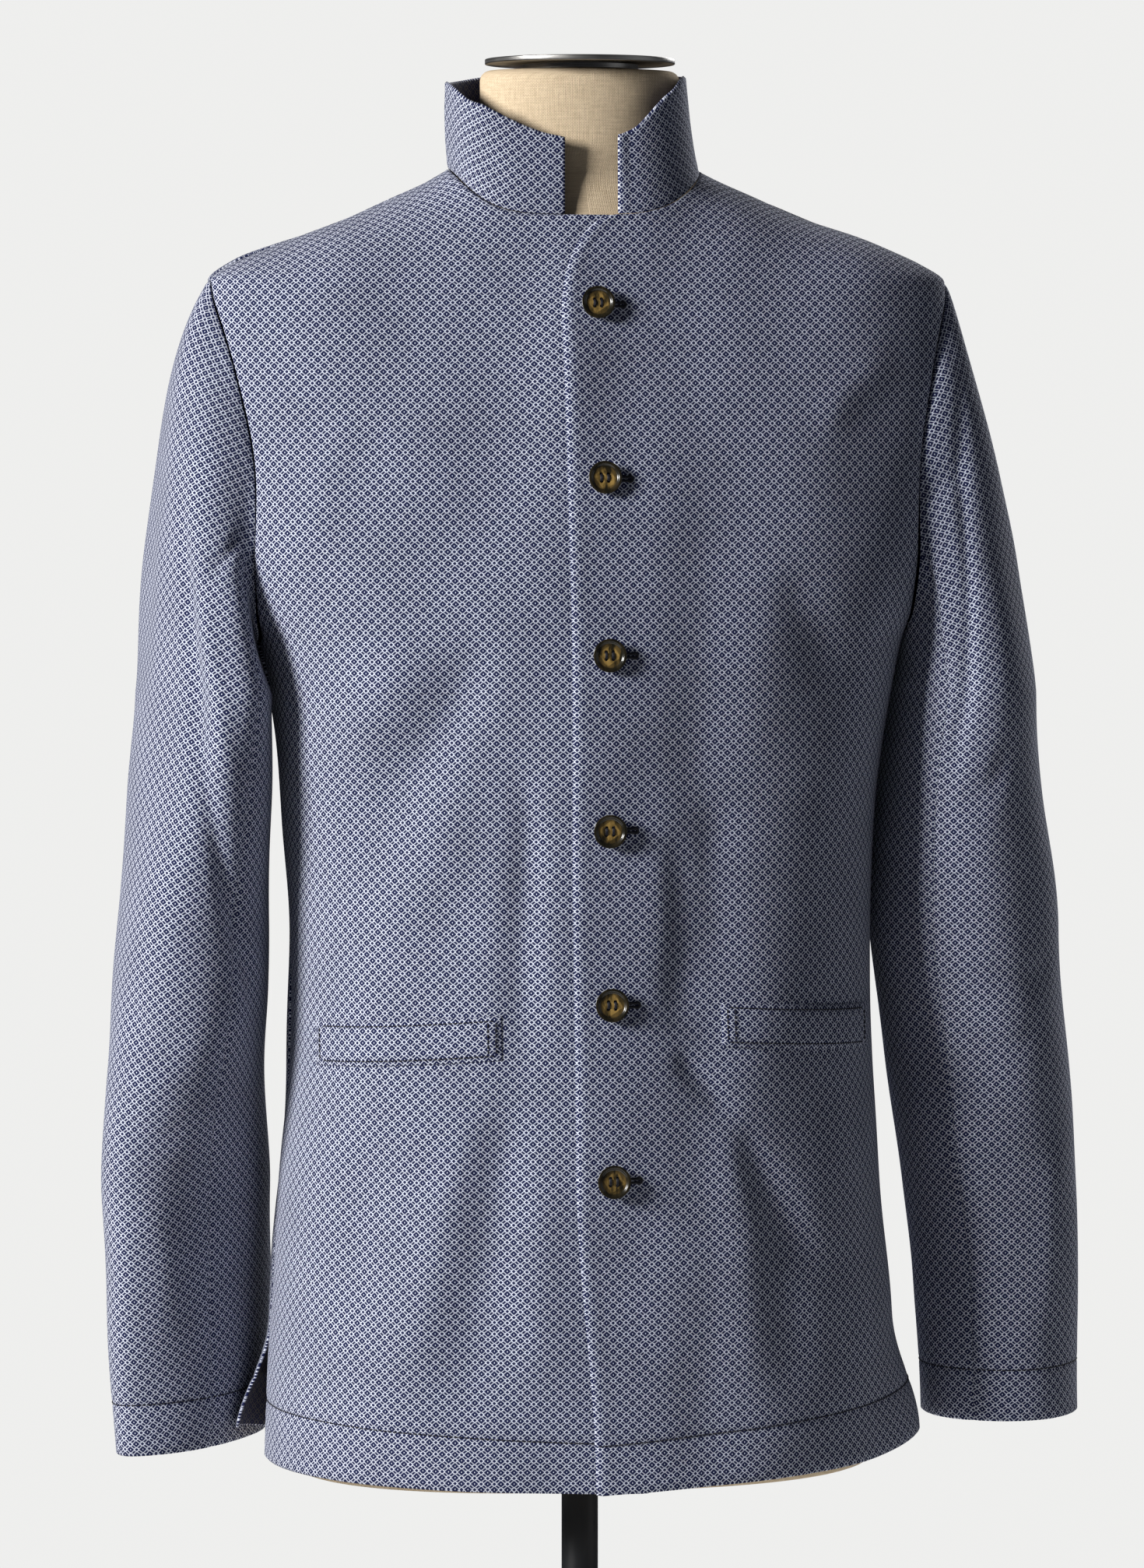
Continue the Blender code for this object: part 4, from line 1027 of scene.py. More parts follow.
def back_place(share, across):
    """Signed share of the half width and height on the back; across runs from -1, right, to 1, left."""
    z_middle = BACK_HEM + (BACK_NECK - BACK_HEM) * share
    ratio_end, z_end = long_edge(share, "back", BACK_HEM)
    x_end = ratio_end * table_at(BODY_RINGS, z_end)[0]
    sweep = np.sin(np.pi / 2 * across)
    z = z_middle + (z_end - z_middle) * sweep ** 2
    return x_end * sweep / table_at(BODY_RINGS, z)[0], z


def back_panel():
    shares = panel_shares()

    def points_at(share, across):
        return body_point(*back_place(share, 2.0 * across - 1.0), "back")

    across = 2.0 * even_across(points_at, shares, 2 * BACK_COLUMNS, True, True) - 1.0
    ratio, z = back_place(shares[:, None], across)
    outer = body_point(ratio, z, "back")
    normal = body_normal(ratio, z, "back")
    swing = np.where(
        ratio < 0.0, vent_swing("back", RIGHT, np.abs(across), z), vent_swing("back", LEFT, np.abs(across), z)
    )
    above_vent = smooth((z - VENT_TOP) / VENT_FADE)
    dip = (seam_dip(distance_from(outer, 1, False)) + seam_dip(distance_from(outer, 1, True))) * above_vent
    dip += seam_dip(distance_from(outer, 0, True))
    dip += stitch_dip(shares, HEM_STITCH, UNDERARM - BACK_HEM)[:, None]
    x = outer[..., 0]
    lift = swing + crease_lift(BACK_CREASES, x, z) + slow_wave(x, z + BACK_WAVE_SHIFT) - dip
    outer = outer + normal * lift[..., None]
    outer[..., 2] += VENT_LIFT * swing
    folded = np.ones(z.shape, dtype=bool)
    folded[:, 0] = z[:, 0] < VENT_TOP
    folded[:, -1] = z[:, -1] < VENT_TOP
    folded[-1] = False
    weave = body_weave(ratio, z, "back")
    piece = cloth_wall("cloth_back", outer, outer - normal * CLOTH, weave, folded)
    declare_cloth(piece, "back")
    mark_stitches("back", shares, HEM_STITCH, outer, normal)
    return outer


BACK_GRID = back_panel()

# %% [markdown]
# The stand collar is one stiffened band on the neck seam, from its right end round the back to its left
# end. It leans in towards the neck and is a little taller at the cheeks. Its base is the panels' own top
# rows, joined to one line and spread evenly, so it can't drift off the seam.

# %% Collar
COLLAR_CLOTH = 0.0022
COLLAR_FRONT = {RIGHT: 0.0438, LEFT: 0.0450}
COLLAR_CHEEK = {RIGHT: 0.0528, LEFT: 0.0605}
COLLAR_SIDE = {RIGHT: 0.0495, LEFT: 0.0540}
CHEEK_WIDTH = {RIGHT: 0.044, LEFT: 0.034}
CHEEK_ENDS = 0.062
CHEEK_FADES = 0.010
COLLAR_LEANS_IN = 0.0036
COLLAR_LEANS_OVER = 0.0051
COLLAR_LEAN_CURVE = 0.6
COLLAR_END_ROUND = 0.0007
COLLAR_END_WIDTH = 0.0024
COLLAR_COLUMNS = 230
COLLAR_ROWS = 22
COLLAR_LOW_ROWS = (0.0, 0.02, 0.045, 0.08)
COLLAR_EVEN_FROM = 0.12
SEAM_GAP = 0.0003
# Columns beside a shoulder seam that the neck line leaves out
SEAM_SKIP = 3
COLLAR_CREASES = (
    (((0.030, 0.012), (0.045, 0.022), (0.058, 0.020)), 0.006, 0.008, -0.0007),
    (((0.090, 0.006), (0.096, 0.026), (0.094, 0.046)), 0.008, 0.010, 0.0006),
    (((0.300, 0.010), (0.318, 0.026), (0.322, 0.042)), 0.008, 0.010, -0.0006),
)


def neck_line():
    """Points along the neck seam from the right collar end round the back to the left collar end."""
    right, left = FRONT_GRIDS[RIGHT][-1], FRONT_GRIDS[LEFT][-1]
    behind = BACK_GRID[-1]
    right = right[right[:, 0] < -COLLAR_END]
    line = np.concatenate((right[:-SEAM_SKIP], behind[SEAM_SKIP:-SEAM_SKIP], left[-SEAM_SKIP - 1::-1]))
    run = run_along(line)
    even = np.linspace(0.0, run[-1], COLLAR_COLUMNS)
    return read_along(line, run, even), even


def collar_height(base):
    """Height of the collar above the neck seam: low at its ends, tallest at the cheeks."""
    half = table_at(BODY_RINGS, SIDE_NECK)[0]
    to_left = smooth((base[:, 0] - NECK_SHIFT + half) / (2.0 * half))
    tall = COLLAR_SIDE[RIGHT] + (COLLAR_SIDE[LEFT] - COLLAR_SIDE[RIGHT]) * to_left
    for side in (RIGHT, LEFT):
        reach = side * base[:, 0]
        cheek = smooth((reach - COLLAR_END) / CHEEK_WIDTH[side])
        beside = smooth((reach - CHEEK_ENDS) / CHEEK_FADES)
        at_cheek = COLLAR_FRONT[side] + (COLLAR_CHEEK[side] - COLLAR_FRONT[side]) * cheek
        in_front = (base[:, 1] <= 0.0) & (reach > 0.0)
        tall = np.where(in_front, at_cheek - (COLLAR_CHEEK[side] - COLLAR_SIDE[side]) * beside, tall)
    return tall


def collar_band():
    base, along = neck_line()
    tangent = unit(np.gradient(base, axis=0))
    outward = unit(np.cross(tangent, np.array((0.0, 0.0, 1.0))))
    outward *= np.sign((outward * base)[:, :2].sum(axis=1))[:, None]
    even_rows = np.linspace(COLLAR_EVEN_FROM, 1.0, COLLAR_ROWS)
    shares = np.concatenate((COLLAR_LOW_ROWS, even_rows))[:, None]
    tall = collar_height(base)[None, :]
    lean = COLLAR_LEANS_IN + COLLAR_LEANS_OVER * outward[:, 0]
    outer = np.repeat(base[None], len(shares), axis=0)
    outer -= outward * (lean * shares ** COLLAR_LEAN_CURVE)[..., None]
    outer[..., 2] += SEAM_GAP + tall * shares
    up = tall * shares
    lift = crease_lift(COLLAR_CREASES, np.broadcast_to(along, up.shape), up) - seam_dip(up)
    outer = outer + outward * lift[..., None]
    inner = outer - outward * COLLAR_CLOTH
    from_end = np.minimum(along, along[-1] - along)
    rounding = COLLAR_END_ROUND * np.exp(-((from_end / COLLAR_END_WIDTH) ** 2))
    outer = outer - outward * rounding[:, None]
    weave = np.stack((np.broadcast_to(along, up.shape), up), axis=-1)
    folded = np.ones(up.shape, dtype=bool)
    folded[0] = False
    piece = cloth_wall("cloth_collar", outer, inner, weave, folded)
    declare_cloth(piece, "collar")


collar_band()

# %% [markdown]
# Each sleeve has two pieces, a wide top sleeve and a narrow under sleeve, joined by a front and a back seam.
# Its cap leaves the armhole and bends over into the hanging arm: a cubic curve from each armhole
# point to the arm's first ring. The arm is oval rings that turn as it hangs.

# %% Sleeve surface
# Height, centre out from the middle and back, half length and half breadth of the oval, its turn in degrees
RIGHT_SLEEVE = (
    (1.215, 0.2215, 0.004, 0.070, 0.0325, 108.0),
    (1.156, 0.2245, 0.004, 0.066, 0.0395, 100.0),
    (1.100, 0.2270, 0.005, 0.063, 0.0435, 88.0),
    (1.040, 0.2295, 0.007, 0.061, 0.0450, 74.0),
    (0.980, 0.2320, 0.012, 0.063, 0.0410, 58.0),
    (0.920, 0.2310, 0.020, 0.066, 0.0345, 46.0),
    (0.860, 0.2295, 0.027, 0.065, 0.0320, 45.0),
    (0.770, 0.2275, 0.034, 0.060, 0.0300, 46.0),
)
LEFT_SLEEVE = (
    (1.215, 0.2299, 0.004, 0.068, 0.0424, 90.0),
    (1.154, 0.2285, 0.004, 0.062, 0.0495, 90.0),
    (1.072, 0.2320, 0.005, 0.056, 0.0563, 90.0),
    (1.000, 0.2405, 0.006, 0.051, 0.0550, 90.0),
    (0.919, 0.2492, 0.008, 0.048, 0.0525, 90.0),
    (0.864, 0.2535, 0.008, 0.046, 0.0490, 90.0),
    (0.782, 0.2560, 0.008, 0.043, 0.0475, 90.0),
)
SLEEVE_RINGS = {RIGHT: RIGHT_SLEEVE, LEFT: LEFT_SLEEVE}
CUFF_RISE = {RIGHT: 0.004, LEFT: 0.0}
CAP_OUT = {RIGHT: 0.60, LEFT: 0.42}
SIDE_OUT = 0.80
UNDERARM_OUT = 0.40
CAP_DOWN = 0.85
SIDE_RISE = 0.40
CAP_FORWARD = 0.25
CAP_PULL = {RIGHT: 0.7, LEFT: 0.5}
ARM_PULL = 0.45
ARM_SLOPE = 0.15


def armhole_point(side, theta):
    """Armhole points by angle: 0 at the shoulder, half a turn at the underarm."""
    z = ARMHOLE_MIDDLE + ARMHOLE_RISE * np.cos(theta)
    dent = np.sin(theta) ** 2
    front = body_point(side * (1.0 - ARMHOLE_CUT["front"] * dent), z, "front")
    back = body_point(side * (1.0 - ARMHOLE_CUT["back"] * dent), z, "back")
    return np.where((np.sin(theta) >= 0.0)[..., None], front, back)


def sleeve_start(side, theta):
    """Direction in which the sleeve leaves the armhole."""
    front_or_back = np.sin(theta) ** 2
    under = ((1.0 - np.cos(theta)) / 2.0) ** 2
    top = ((1.0 + np.cos(theta)) / 2.0) ** 2
    out = CAP_OUT[side] * top + SIDE_OUT * front_or_back + UNDERARM_OUT * under
    down = CAP_DOWN - SIDE_RISE * front_or_back
    return unit(np.stack((side * out, -CAP_FORWARD * np.sin(theta), -down), axis=-1))


def sleeve_ring_point(side, theta, z):
    """Point of the hanging sleeve's ring: 0 outwards, a quarter turn forwards."""
    out, back, half_length, half_breadth, turn = table_at(SLEEVE_RINGS[side], z)
    turn = np.radians(turn)
    along, across = half_length * np.cos(theta - turn), half_breadth * np.sin(theta - turn)
    sideways = along * np.cos(turn) - across * np.sin(turn)
    forwards = along * np.sin(turn) + across * np.cos(turn)
    top, cuff = SLEEVE_RINGS[side][0][0], SLEEVE_RINGS[side][-1][0]
    rise = CUFF_RISE[side] * ((top - z) / (top - cuff)) ** 3 * (1.0 - np.cos(theta)) / 2.0
    return np.stack((side * (out + sideways), back - forwards, z + rise), axis=-1)


def sleeve_point(side, theta, down):
    """Sleeve point: down runs from -1 at the armhole over 0 at the arm's first ring to 1 at the cuff."""
    theta, down = np.broadcast_arrays(theta, down)
    top, cuff = SLEEVE_RINGS[side][0][0], SLEEVE_RINGS[side][-1][0]
    on_arm = sleeve_ring_point(side, theta, top + (cuff - top) * np.clip(down, 0.0, 1.0))
    start = armhole_point(side, theta) + sleeve_start(side, theta) * SEAM_GAP
    end = sleeve_ring_point(side, theta, np.full(theta.shape, top))
    chord = np.linalg.norm(end - start, axis=-1, keepdims=True)
    arriving = np.array((side * ARM_SLOPE, 0.0, -1.0)) * ARM_PULL * chord
    leaving = sleeve_start(side, theta) * CAP_PULL[side] * chord
    on_cap = hermite(start, leaving, end, arriving, np.clip(down + 1.0, 0.0, 1.0)[..., None])
    return np.where((down < 0.0)[..., None], on_cap, on_arm)


print("sleeve from armhole top to cuff:", round(SHOULDER_TIP - LEFT_SLEEVE[-1][0], 3), "m straight down")

# %% [markdown]
# Sleeve creases are placed by their angle round the arm, in degrees, and their height. The long dark fold of
# the right sleeve starts at the shoulder's outside and winds to the inside at the elbow, with a lighter
# ridge beside it. Hidden sides get similar, softer ones.

# %% Sleeve creases
SLEEVE_RADIUS = 0.055
# Points (degrees, z), half width at the start and at the end, height
SLEEVE_CREASES = {
    RIGHT: (
        (
            ((42, 1.372), (51, 1.305), (55, 1.250), (64, 1.200), (96, 1.133), (133, 1.058), (165, 0.986)),
            0.005, 0.008, -0.0036,
        ),
        (((66, 1.290), (72, 1.240), (86, 1.195), (112, 1.145)), 0.007, 0.009, 0.0030),
        (((66, 1.284), (90, 1.297), (116, 1.312)), 0.005, 0.005, -0.0028),
        (((20, 1.330), (22, 1.260), (30, 1.180)), 0.010, 0.014, 0.0016),
        (((30, 1.050), (60, 1.020), (100, 1.012)), 0.008, 0.010, -0.0020),
        (((40, 0.975), (75, 0.960), (110, 0.972)), 0.007, 0.009, -0.0018),
        (((35, 0.998), (66, 0.990), (96, 0.996)), 0.008, 0.008, 0.0012),
        (((70, 0.930), (88, 0.890), (92, 0.830)), 0.008, 0.012, 0.0016),
        (((-40, 1.340), (-52, 1.270), (-70, 1.200)), 0.009, 0.012, -0.0022),
        (((-60, 1.070), (-100, 1.050), (-140, 1.066)), 0.008, 0.010, -0.0022),
        (((-50, 1.010), (-95, 0.996), (-130, 1.004)), 0.008, 0.009, -0.0018),
    ),
    LEFT: (
        (((52, 1.416), (66, 1.388), (90, 1.345)), 0.008, 0.011, 0.0026),
        (((106, 1.326), (90, 1.338), (70, 1.350)), 0.004, 0.005, -0.0024),
        (((106, 1.310), (114, 1.270), (124, 1.222)), 0.007, 0.009, 0.0022),
        (((40, 1.420), (72, 1.352), (92, 1.270), (108, 1.200), (116, 1.120)), 0.004, 0.006, -0.0026),
        (((20, 1.340), (28, 1.260), (30, 1.180)), 0.010, 0.014, 0.0014),
        (((66, 1.190), (84, 1.160), (110, 1.150)), 0.007, 0.009, -0.0018),
        (((30, 1.060), (62, 1.046), (100, 1.056)), 0.007, 0.010, -0.0020),
        (((50, 1.020), (80, 1.008), (116, 1.014)), 0.006, 0.008, -0.0016),
        (((40, 0.960), (58, 0.900), (60, 0.830)), 0.010, 0.012, 0.0014),
        (((-45, 1.330), (-58, 1.260), (-72, 1.190)), 0.009, 0.012, -0.0024),
        (((-50, 1.060), (-90, 1.040), (-140, 1.050)), 0.008, 0.010, -0.0022),
        (((-60, 0.990), (-100, 0.976), (-130, 0.984)), 0.007, 0.009, -0.0016),
    ),
}


def sleeve_creases(side):
    """Creases with their angles turned into metres round the arm."""
    rows = []
    for points, start_width, end_width, height in SLEEVE_CREASES[side]:
        metres = tuple((math.radians(degrees) * SLEEVE_RADIUS, z) for degrees, z in points)
        rows.append((metres, start_width, end_width, height))
    return rows


print("creases on the sleeves:", {SIDE_WORDS[side]: len(rows) for side, rows in SLEEVE_CREASES.items()})

# %% [markdown]
# A sleeve's cap is curved both ways, so no tape measure can lay it flat. Blender's unwrap can: it flattens a
# copy of the sleeve's grid with little stretch. The result is scaled to the cloth's real area and turned
# until its grain runs from the cuff up, as a cutter lays it. It is the weave's map.

# %% Flat pattern


def start_piece():
    """Leave edit mode with nothing selected."""
    if bpy.context.mode != "OBJECT":
        bpy.ops.object.mode_set(mode="OBJECT")
    bpy.ops.object.select_all(action="DESELECT")


def grid_area(grid):
    """Area of a grid's faces, flat or in space."""
    deep = np.concatenate((grid, np.zeros(grid.shape[:2] + (3 - grid.shape[2],))), axis=2)
    one = np.cross(deep[1:, 1:] - deep[:-1, :-1], deep[1:, :-1] - deep[:-1, 1:])
    return 0.5 * float(np.linalg.norm(one, axis=-1).sum())


def flat_pattern(grid, first_ring):
    """Flat place of each grid point in metres; its grain runs from the last row up to first_ring."""
    rows, columns = grid.shape[:2]
    mesh = bpy.data.meshes.new("flat_pattern")
    mesh.from_pydata(grid.reshape(-1, 3).tolist(), [], grid_quads(rows, columns).tolist())
    mesh.uv_layers.new(name=WEAVE_MAP)
    piece = linked("flat_pattern", mesh)
    start_piece()
    piece.select_set(True)
    bpy.context.view_layer.objects.active = piece
    bpy.ops.object.mode_set(mode="EDIT")
    bpy.ops.mesh.select_all(action="SELECT")
    bpy.ops.uv.unwrap(method="MINIMUM_STRETCH", margin=0.0)
    bpy.ops.object.mode_set(mode="OBJECT")
    corner_place = np.empty(2 * len(mesh.loops), dtype=np.float32)
    mesh.uv_layers[WEAVE_MAP].data.foreach_get("uv", corner_place)
    corner_point = np.empty(len(mesh.loops), dtype=np.int32)
    mesh.loops.foreach_get("vertex_index", corner_point)
    flat = np.zeros((rows * columns, 2))
    flat[corner_point] = corner_place.reshape(-1, 2)
    bpy.data.objects.remove(piece, do_unlink=True)
    flat = flat.reshape(rows, columns, 2)
    grain = unit(flat[first_ring].mean(axis=0) - flat[-1].mean(axis=0))
    across = np.array((grain[1], -grain[0]))
    flat = np.stack((flat @ across, flat @ grain), axis=-1)
    flat *= math.sqrt(grid_area(grid) / grid_area(flat))
    return flat - flat[first_ring].mean(axis=0)


corners = np.stack(np.meshgrid((0.0, 0.1), (0.0, 0.1)), axis=-1)
print("a flat square of 0.1 m has", round(grid_area(corners), 4), "m2")

# %% [markdown]
# The sleeve grids run from the armhole down and round between the two seams. Columns lie close at the
# seams and rows lie close at the armhole and at the cuff's stitching. The cuff's edge is folded and round.

# %% Sleeves
FRONT_SEAM = math.radians(120.0)
BACK_SEAM = math.radians(-120.0)
SLEEVE_COLUMNS = {"top": 66, "under": 34}
CAP_ROWS = 44
ARM_ROWS = 96
CUFF_STITCH = 0.030
CUFF_CLEAR = 0.011
CUFF_CLOSENESS = 2.0
ARMHOLE_SHARES = (-1.0, -0.994, -0.986, -0.975, -0.960)
CAP_EVEN_FROM = -0.940
ARMHOLE_FADE = 0.06
SLEEVE_WAVE_SHIFT = 0.02
THETA_STEP = math.radians(1.0)
DOWN_STEP = 0.004


def sleeve_rows(side):
    """Rows down a sleeve, close together at the armhole and at the cuff's stitching."""
    arm = SLEEVE_RINGS[side][0][0] - SLEEVE_RINGS[side][-1][0]
    stitch = 1.0 - CUFF_STITCH / arm
    cap = np.linspace(CAP_EVEN_FROM, 0.0, CAP_ROWS, endpoint=False)
    lower = np.linspace(0.0, 1.0, ARM_ROWS)
    lower = lower[np.abs(lower - stitch) > CUFF_CLEAR]
    close = stitch + np.array(CLOSE_ROWS) * CUFF_CLOSENESS
    return np.unique(np.concatenate((ARMHOLE_SHARES, cap, lower, close))), stitch, arm


def sleeve_panel(side, piece_word, theta_from, theta_to):
    rows, stitch, arm = sleeve_rows(side)
    total = (theta_to - theta_from) * SLEEVE_RADIUS
    theta = theta_from + column_distances(total, SLEEVE_COLUMNS[piece_word], True, True) / SLEEVE_RADIUS
    theta, down = np.broadcast_arrays(theta[None, :], rows[:, None])
    base = sleeve_point(side, theta, down)
    round_arm = sleeve_point(side, theta + THETA_STEP, down) - sleeve_point(side, theta - THETA_STEP, down)
    below = sleeve_point(side, theta, np.minimum(1.0, down + DOWN_STEP))
    above = sleeve_point(side, theta, np.maximum(-1.0, down - DOWN_STEP))
    normal = unit(np.cross(round_arm, below - above)) * side
    place = theta * SLEEVE_RADIUS
    creases = sleeve_creases(side)
    lift = slow_wave(place + SLEEVE_WAVE_SHIFT * side, base[..., 2])
    for whole_turn in (-1, 0, 1):
        lift = lift + crease_lift(creases, place + whole_turn * 2.0 * np.pi * SLEEVE_RADIUS, base[..., 2])
    from_armhole = smooth((down + 1.0) / ARMHOLE_FADE)
    dip = seam_dip(distance_from(base, 1, False)) + seam_dip(distance_from(base, 1, True))
    dip += seam_dip(distance_from(base, 0, False)) + stitch_dip(rows, stitch, arm)[:, None]
    outer = base + normal * (lift * from_armhole - dip)[..., None]
    weave = flat_pattern(base, int(np.argmin(np.abs(rows))))
    folded = np.zeros(theta.shape, dtype=bool)
    folded[-1] = True
    word = f"sleeve_{piece_word}_{SIDE_WORDS[side]}"
    piece = cloth_wall(f"cloth_{word}", outer, outer - normal * CLOTH, weave, folded)
    declare_cloth(piece, word)
    mark_stitches(word, rows, stitch, outer, normal)


for side in (RIGHT, LEFT):
    sleeve_panel(side, "top", BACK_SEAM, FRONT_SEAM)
    sleeve_panel(side, "under", FRONT_SEAM, BACK_SEAM + 2.0 * math.pi)

# %% [markdown]
# Each pocket has a welt, a folded strip with its own level grain, sewn down all round. It is made from the
# front's own surface, moved out, so it follows the creases under it, and it swells a little in its middle.

# %% Pocket welts
WELT_FROM = {RIGHT: 0.0620, LEFT: 0.0665}
WELT_TO = 0.1615
WELT_BOTTOM = {RIGHT: 1.0115, LEFT: 1.0170}
WELT_DROP = 0.008
WELT_HEIGHT = 0.025
WELT_OFF_PANEL = 0.0003
WELT_EDGE = 0.0005
WELT_EDGE_WIDTH = 0.0045
WELT_SWELL = 0.0002
WELT_COLUMNS = 70
WELT_ROWS = 20
WELT_STITCH = 0.0024


def welt_place(side, share_along, share_up):
    """Outer front points and normals under a welt, and the height there."""
    x = WELT_FROM[side] + (WELT_TO - WELT_FROM[side]) * share_along
    z = WELT_BOTTOM[side] + WELT_HEIGHT * share_up - WELT_DROP * share_along
    return front_surface(side, x / table_at(BODY_RINGS, z)[0], z, 0.5)


def welt_strip(side):
    along, up = np.meshgrid(np.linspace(0.0, 1.0, WELT_COLUMNS), np.linspace(0.0, 1.0, WELT_ROWS))
    under, normal = welt_place(side, along, up)
    inner = under + normal * WELT_OFF_PANEL
    run = distance_from(under, 1, False)
    height = WELT_HEIGHT * up
    border = np.minimum(np.minimum(run, run[:, -1:] - run), np.minimum(height, WELT_HEIGHT - height))
    sunk = STITCH_SINK * np.exp(-(((border - WELT_STITCH) / STITCH_SOFT) ** 2))
    thick = WELT_EDGE + (CLOTH + WELT_SWELL - WELT_EDGE) * smooth(border / WELT_EDGE_WIDTH)
    outer = inner + normal * (thick - 0.5 * sunk)[..., None]
    weave = np.stack((run * side, height), axis=-1)
    word = SIDE_WORDS[side]
    piece = cloth_wall(f"cloth_welt_{word}", outer, inner, weave, np.ones(run.shape, dtype=bool))
    declare_cloth(piece, f"pocket_welt_{word}")
    column = int(np.argmin(np.abs(run[0] - WELT_STITCH)))
    row = int(np.argmin(np.abs(up[:, 0] * WELT_HEIGHT - WELT_STITCH)))
    for name, line in (
        ("bottom", (row, slice(column, -column))),
        ("top", (-1 - row, slice(column, -column))),
        ("inner", (slice(row, -row), column)),
        ("second", (slice(row, -row), 2 * column + 1)),
        ("outer", (slice(row, -row), -1 - column)),
    ):
        STITCH_LINES[f"welt_{word}_{name}"] = (outer[line], normal[line])


for side in (RIGHT, LEFT):
    welt_strip(side)

# %% [markdown]
# Stitches are short rounded bars of thread that lie half sunk in the cloth. Hundreds of them are made as one
# joined mesh from arrays, with a few faces each, because modelling each by hand would take for ever and a
# bump would vanish close up.

# %% Stitching
STITCH_PITCH = 0.0030
STITCH_LENGTH = 0.0027
STITCH_RADIUS = 0.0004
STITCH_START = 0.4 * STITCH_PITCH
BAR_SIDES = 5
# Share along a bar, and rise above its ends in radii
BAR_RINGS = ((0.15, 0.5), (0.5, 1.1), (0.85, 0.5))


def thread_bars(starts, ends, normals, radius):
    """Points and faces of rounded bars from starts to ends, arched along their normals."""
    run = ends - starts
    side = unit(np.cross(run, normals))
    over = unit(np.cross(side, run))
    points = [starts - over * radius]
    for share, rise in BAR_RINGS:
        middle = starts + run * share + over * radius * rise
        for step in range(BAR_SIDES):
            turn = 2.0 * math.pi * step / BAR_SIDES
            points.append(middle + (side * math.cos(turn) + over * math.sin(turn)) * radius)
    points.append(ends - over * radius)
    points = np.stack(points, axis=1)
    last = len(BAR_RINGS) * BAR_SIDES + 1
    faces = []
    for step in range(BAR_SIDES):
        following = (step + 1) % BAR_SIDES
        faces.append((0, 1 + following, 1 + step))
        for ring in range(len(BAR_RINGS) - 1):
            low = 1 + ring * BAR_SIDES
            faces.append((low + step, low + following, low + BAR_SIDES + following, low + BAR_SIDES + step))
        faces.append((last - BAR_SIDES + step, last - BAR_SIDES + following, last))
    return points, faces


def thread_piece(name, groups):
    """One piece of navy thread from groups of bars."""
    all_points, all_faces, used = [], [], 0
    for points, faces in groups:
        for bar in points:
            all_points.extend(bar.tolist())
            all_faces.extend([tuple(number + used for number in face) for face in faces])
            used += len(bar)
    mesh = bpy.data.meshes.new(name)
    mesh.from_pydata(all_points, [], all_faces)
    mesh.shade_smooth()
    mesh.materials.append(NAVY_THREAD)
    piece = linked(name, mesh)
    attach(piece, BODY)
    print(name, "has", sum(len(points) for points, faces in groups), "stitches")


def stitch_line(line, normals):
    """Bars along a line of points."""
    run = run_along(line)
    starts_at = np.arange(STITCH_START, run[-1] - STITCH_LENGTH, STITCH_PITCH)
    starts = read_along(line, run, starts_at)
    ends = read_along(line, run, starts_at + STITCH_LENGTH)
    return thread_bars(starts, ends, unit(read_along(normals, run, starts_at)), STITCH_RADIUS)


for name, words in (
    ("hem_stitching", ("front_right", "front_left", "back")),
    ("cuff_stitching", ("sleeve",)),
    ("welt_stitching", ("welt",)),
):
    lines = [stitch_line(*line) for word, line in STITCH_LINES.items() if word.startswith(words)]
    thread_piece(name, lines)

# %% [markdown]
# A buttonhole is a slit bound with close stitches, with a round eye at its end for the button's shank.
# Most of it is under the button, and only its end shows beside it. The stitches stand square to an outline
# that runs along the slit, round the eye and back.

# %% Buttonholes
BUTTON_COUNT = 6
BUTTON_TOP = 1.440
BUTTON_PITCH = 0.0995
HOLE_FROM = 0.0040
HOLE_EYE = 0.0150
HOLE_EYE_RADIUS = 0.0006
HOLE_EYE_TURN = 0.75 * math.pi
HOLE_EYE_STITCHES = 19
HOLE_SLIT = 0.0001
HOLE_STITCH = 0.0019
HOLE_STITCH_PITCH = 0.00052
HOLE_STITCH_RADIUS = 0.00032


def on_left_front(x, z):
    return front_surface(LEFT, x / table_at(BODY_RINGS, z)[0], z, 0.0)


def hole_outline():
    """Places (x, z) and outward directions along a buttonhole's bound edge."""
    straight = np.arange(HOLE_FROM, HOLE_EYE, HOLE_STITCH_PITCH)
    turns = np.linspace(-HOLE_EYE_TURN, HOLE_EYE_TURN, HOLE_EYE_STITCHES)
    eye = np.stack((HOLE_EYE + HOLE_EYE_RADIUS * np.cos(turns), HOLE_EYE_RADIUS * np.sin(turns)), axis=-1)
    eye_out = np.stack((np.cos(turns), np.sin(turns)), axis=-1)
    places, directions = [eye], [eye_out]
    for way in (1.0, -1.0):
        places.append(np.stack((straight, np.full_like(straight, way * HOLE_SLIT)), axis=-1))
        directions.append(np.tile((0.0, way), (len(straight), 1)))
    return np.concatenate(places), np.concatenate(directions)


def buttonhole_bars(z):
    places, directions = hole_outline()
    ends = places + directions * HOLE_STITCH
    start_points, normals = on_left_front(places[:, 0], z + places[:, 1])
    end_points = on_left_front(ends[:, 0], z + ends[:, 1])[0]
    return thread_bars(start_points, end_points, normals, HOLE_STITCH_RADIUS)


def button_heights():
    return [BUTTON_TOP - BUTTON_PITCH * index for index in range(BUTTON_COUNT)]


thread_piece("buttonholes", [buttonhole_bars(z) for z in button_heights()])
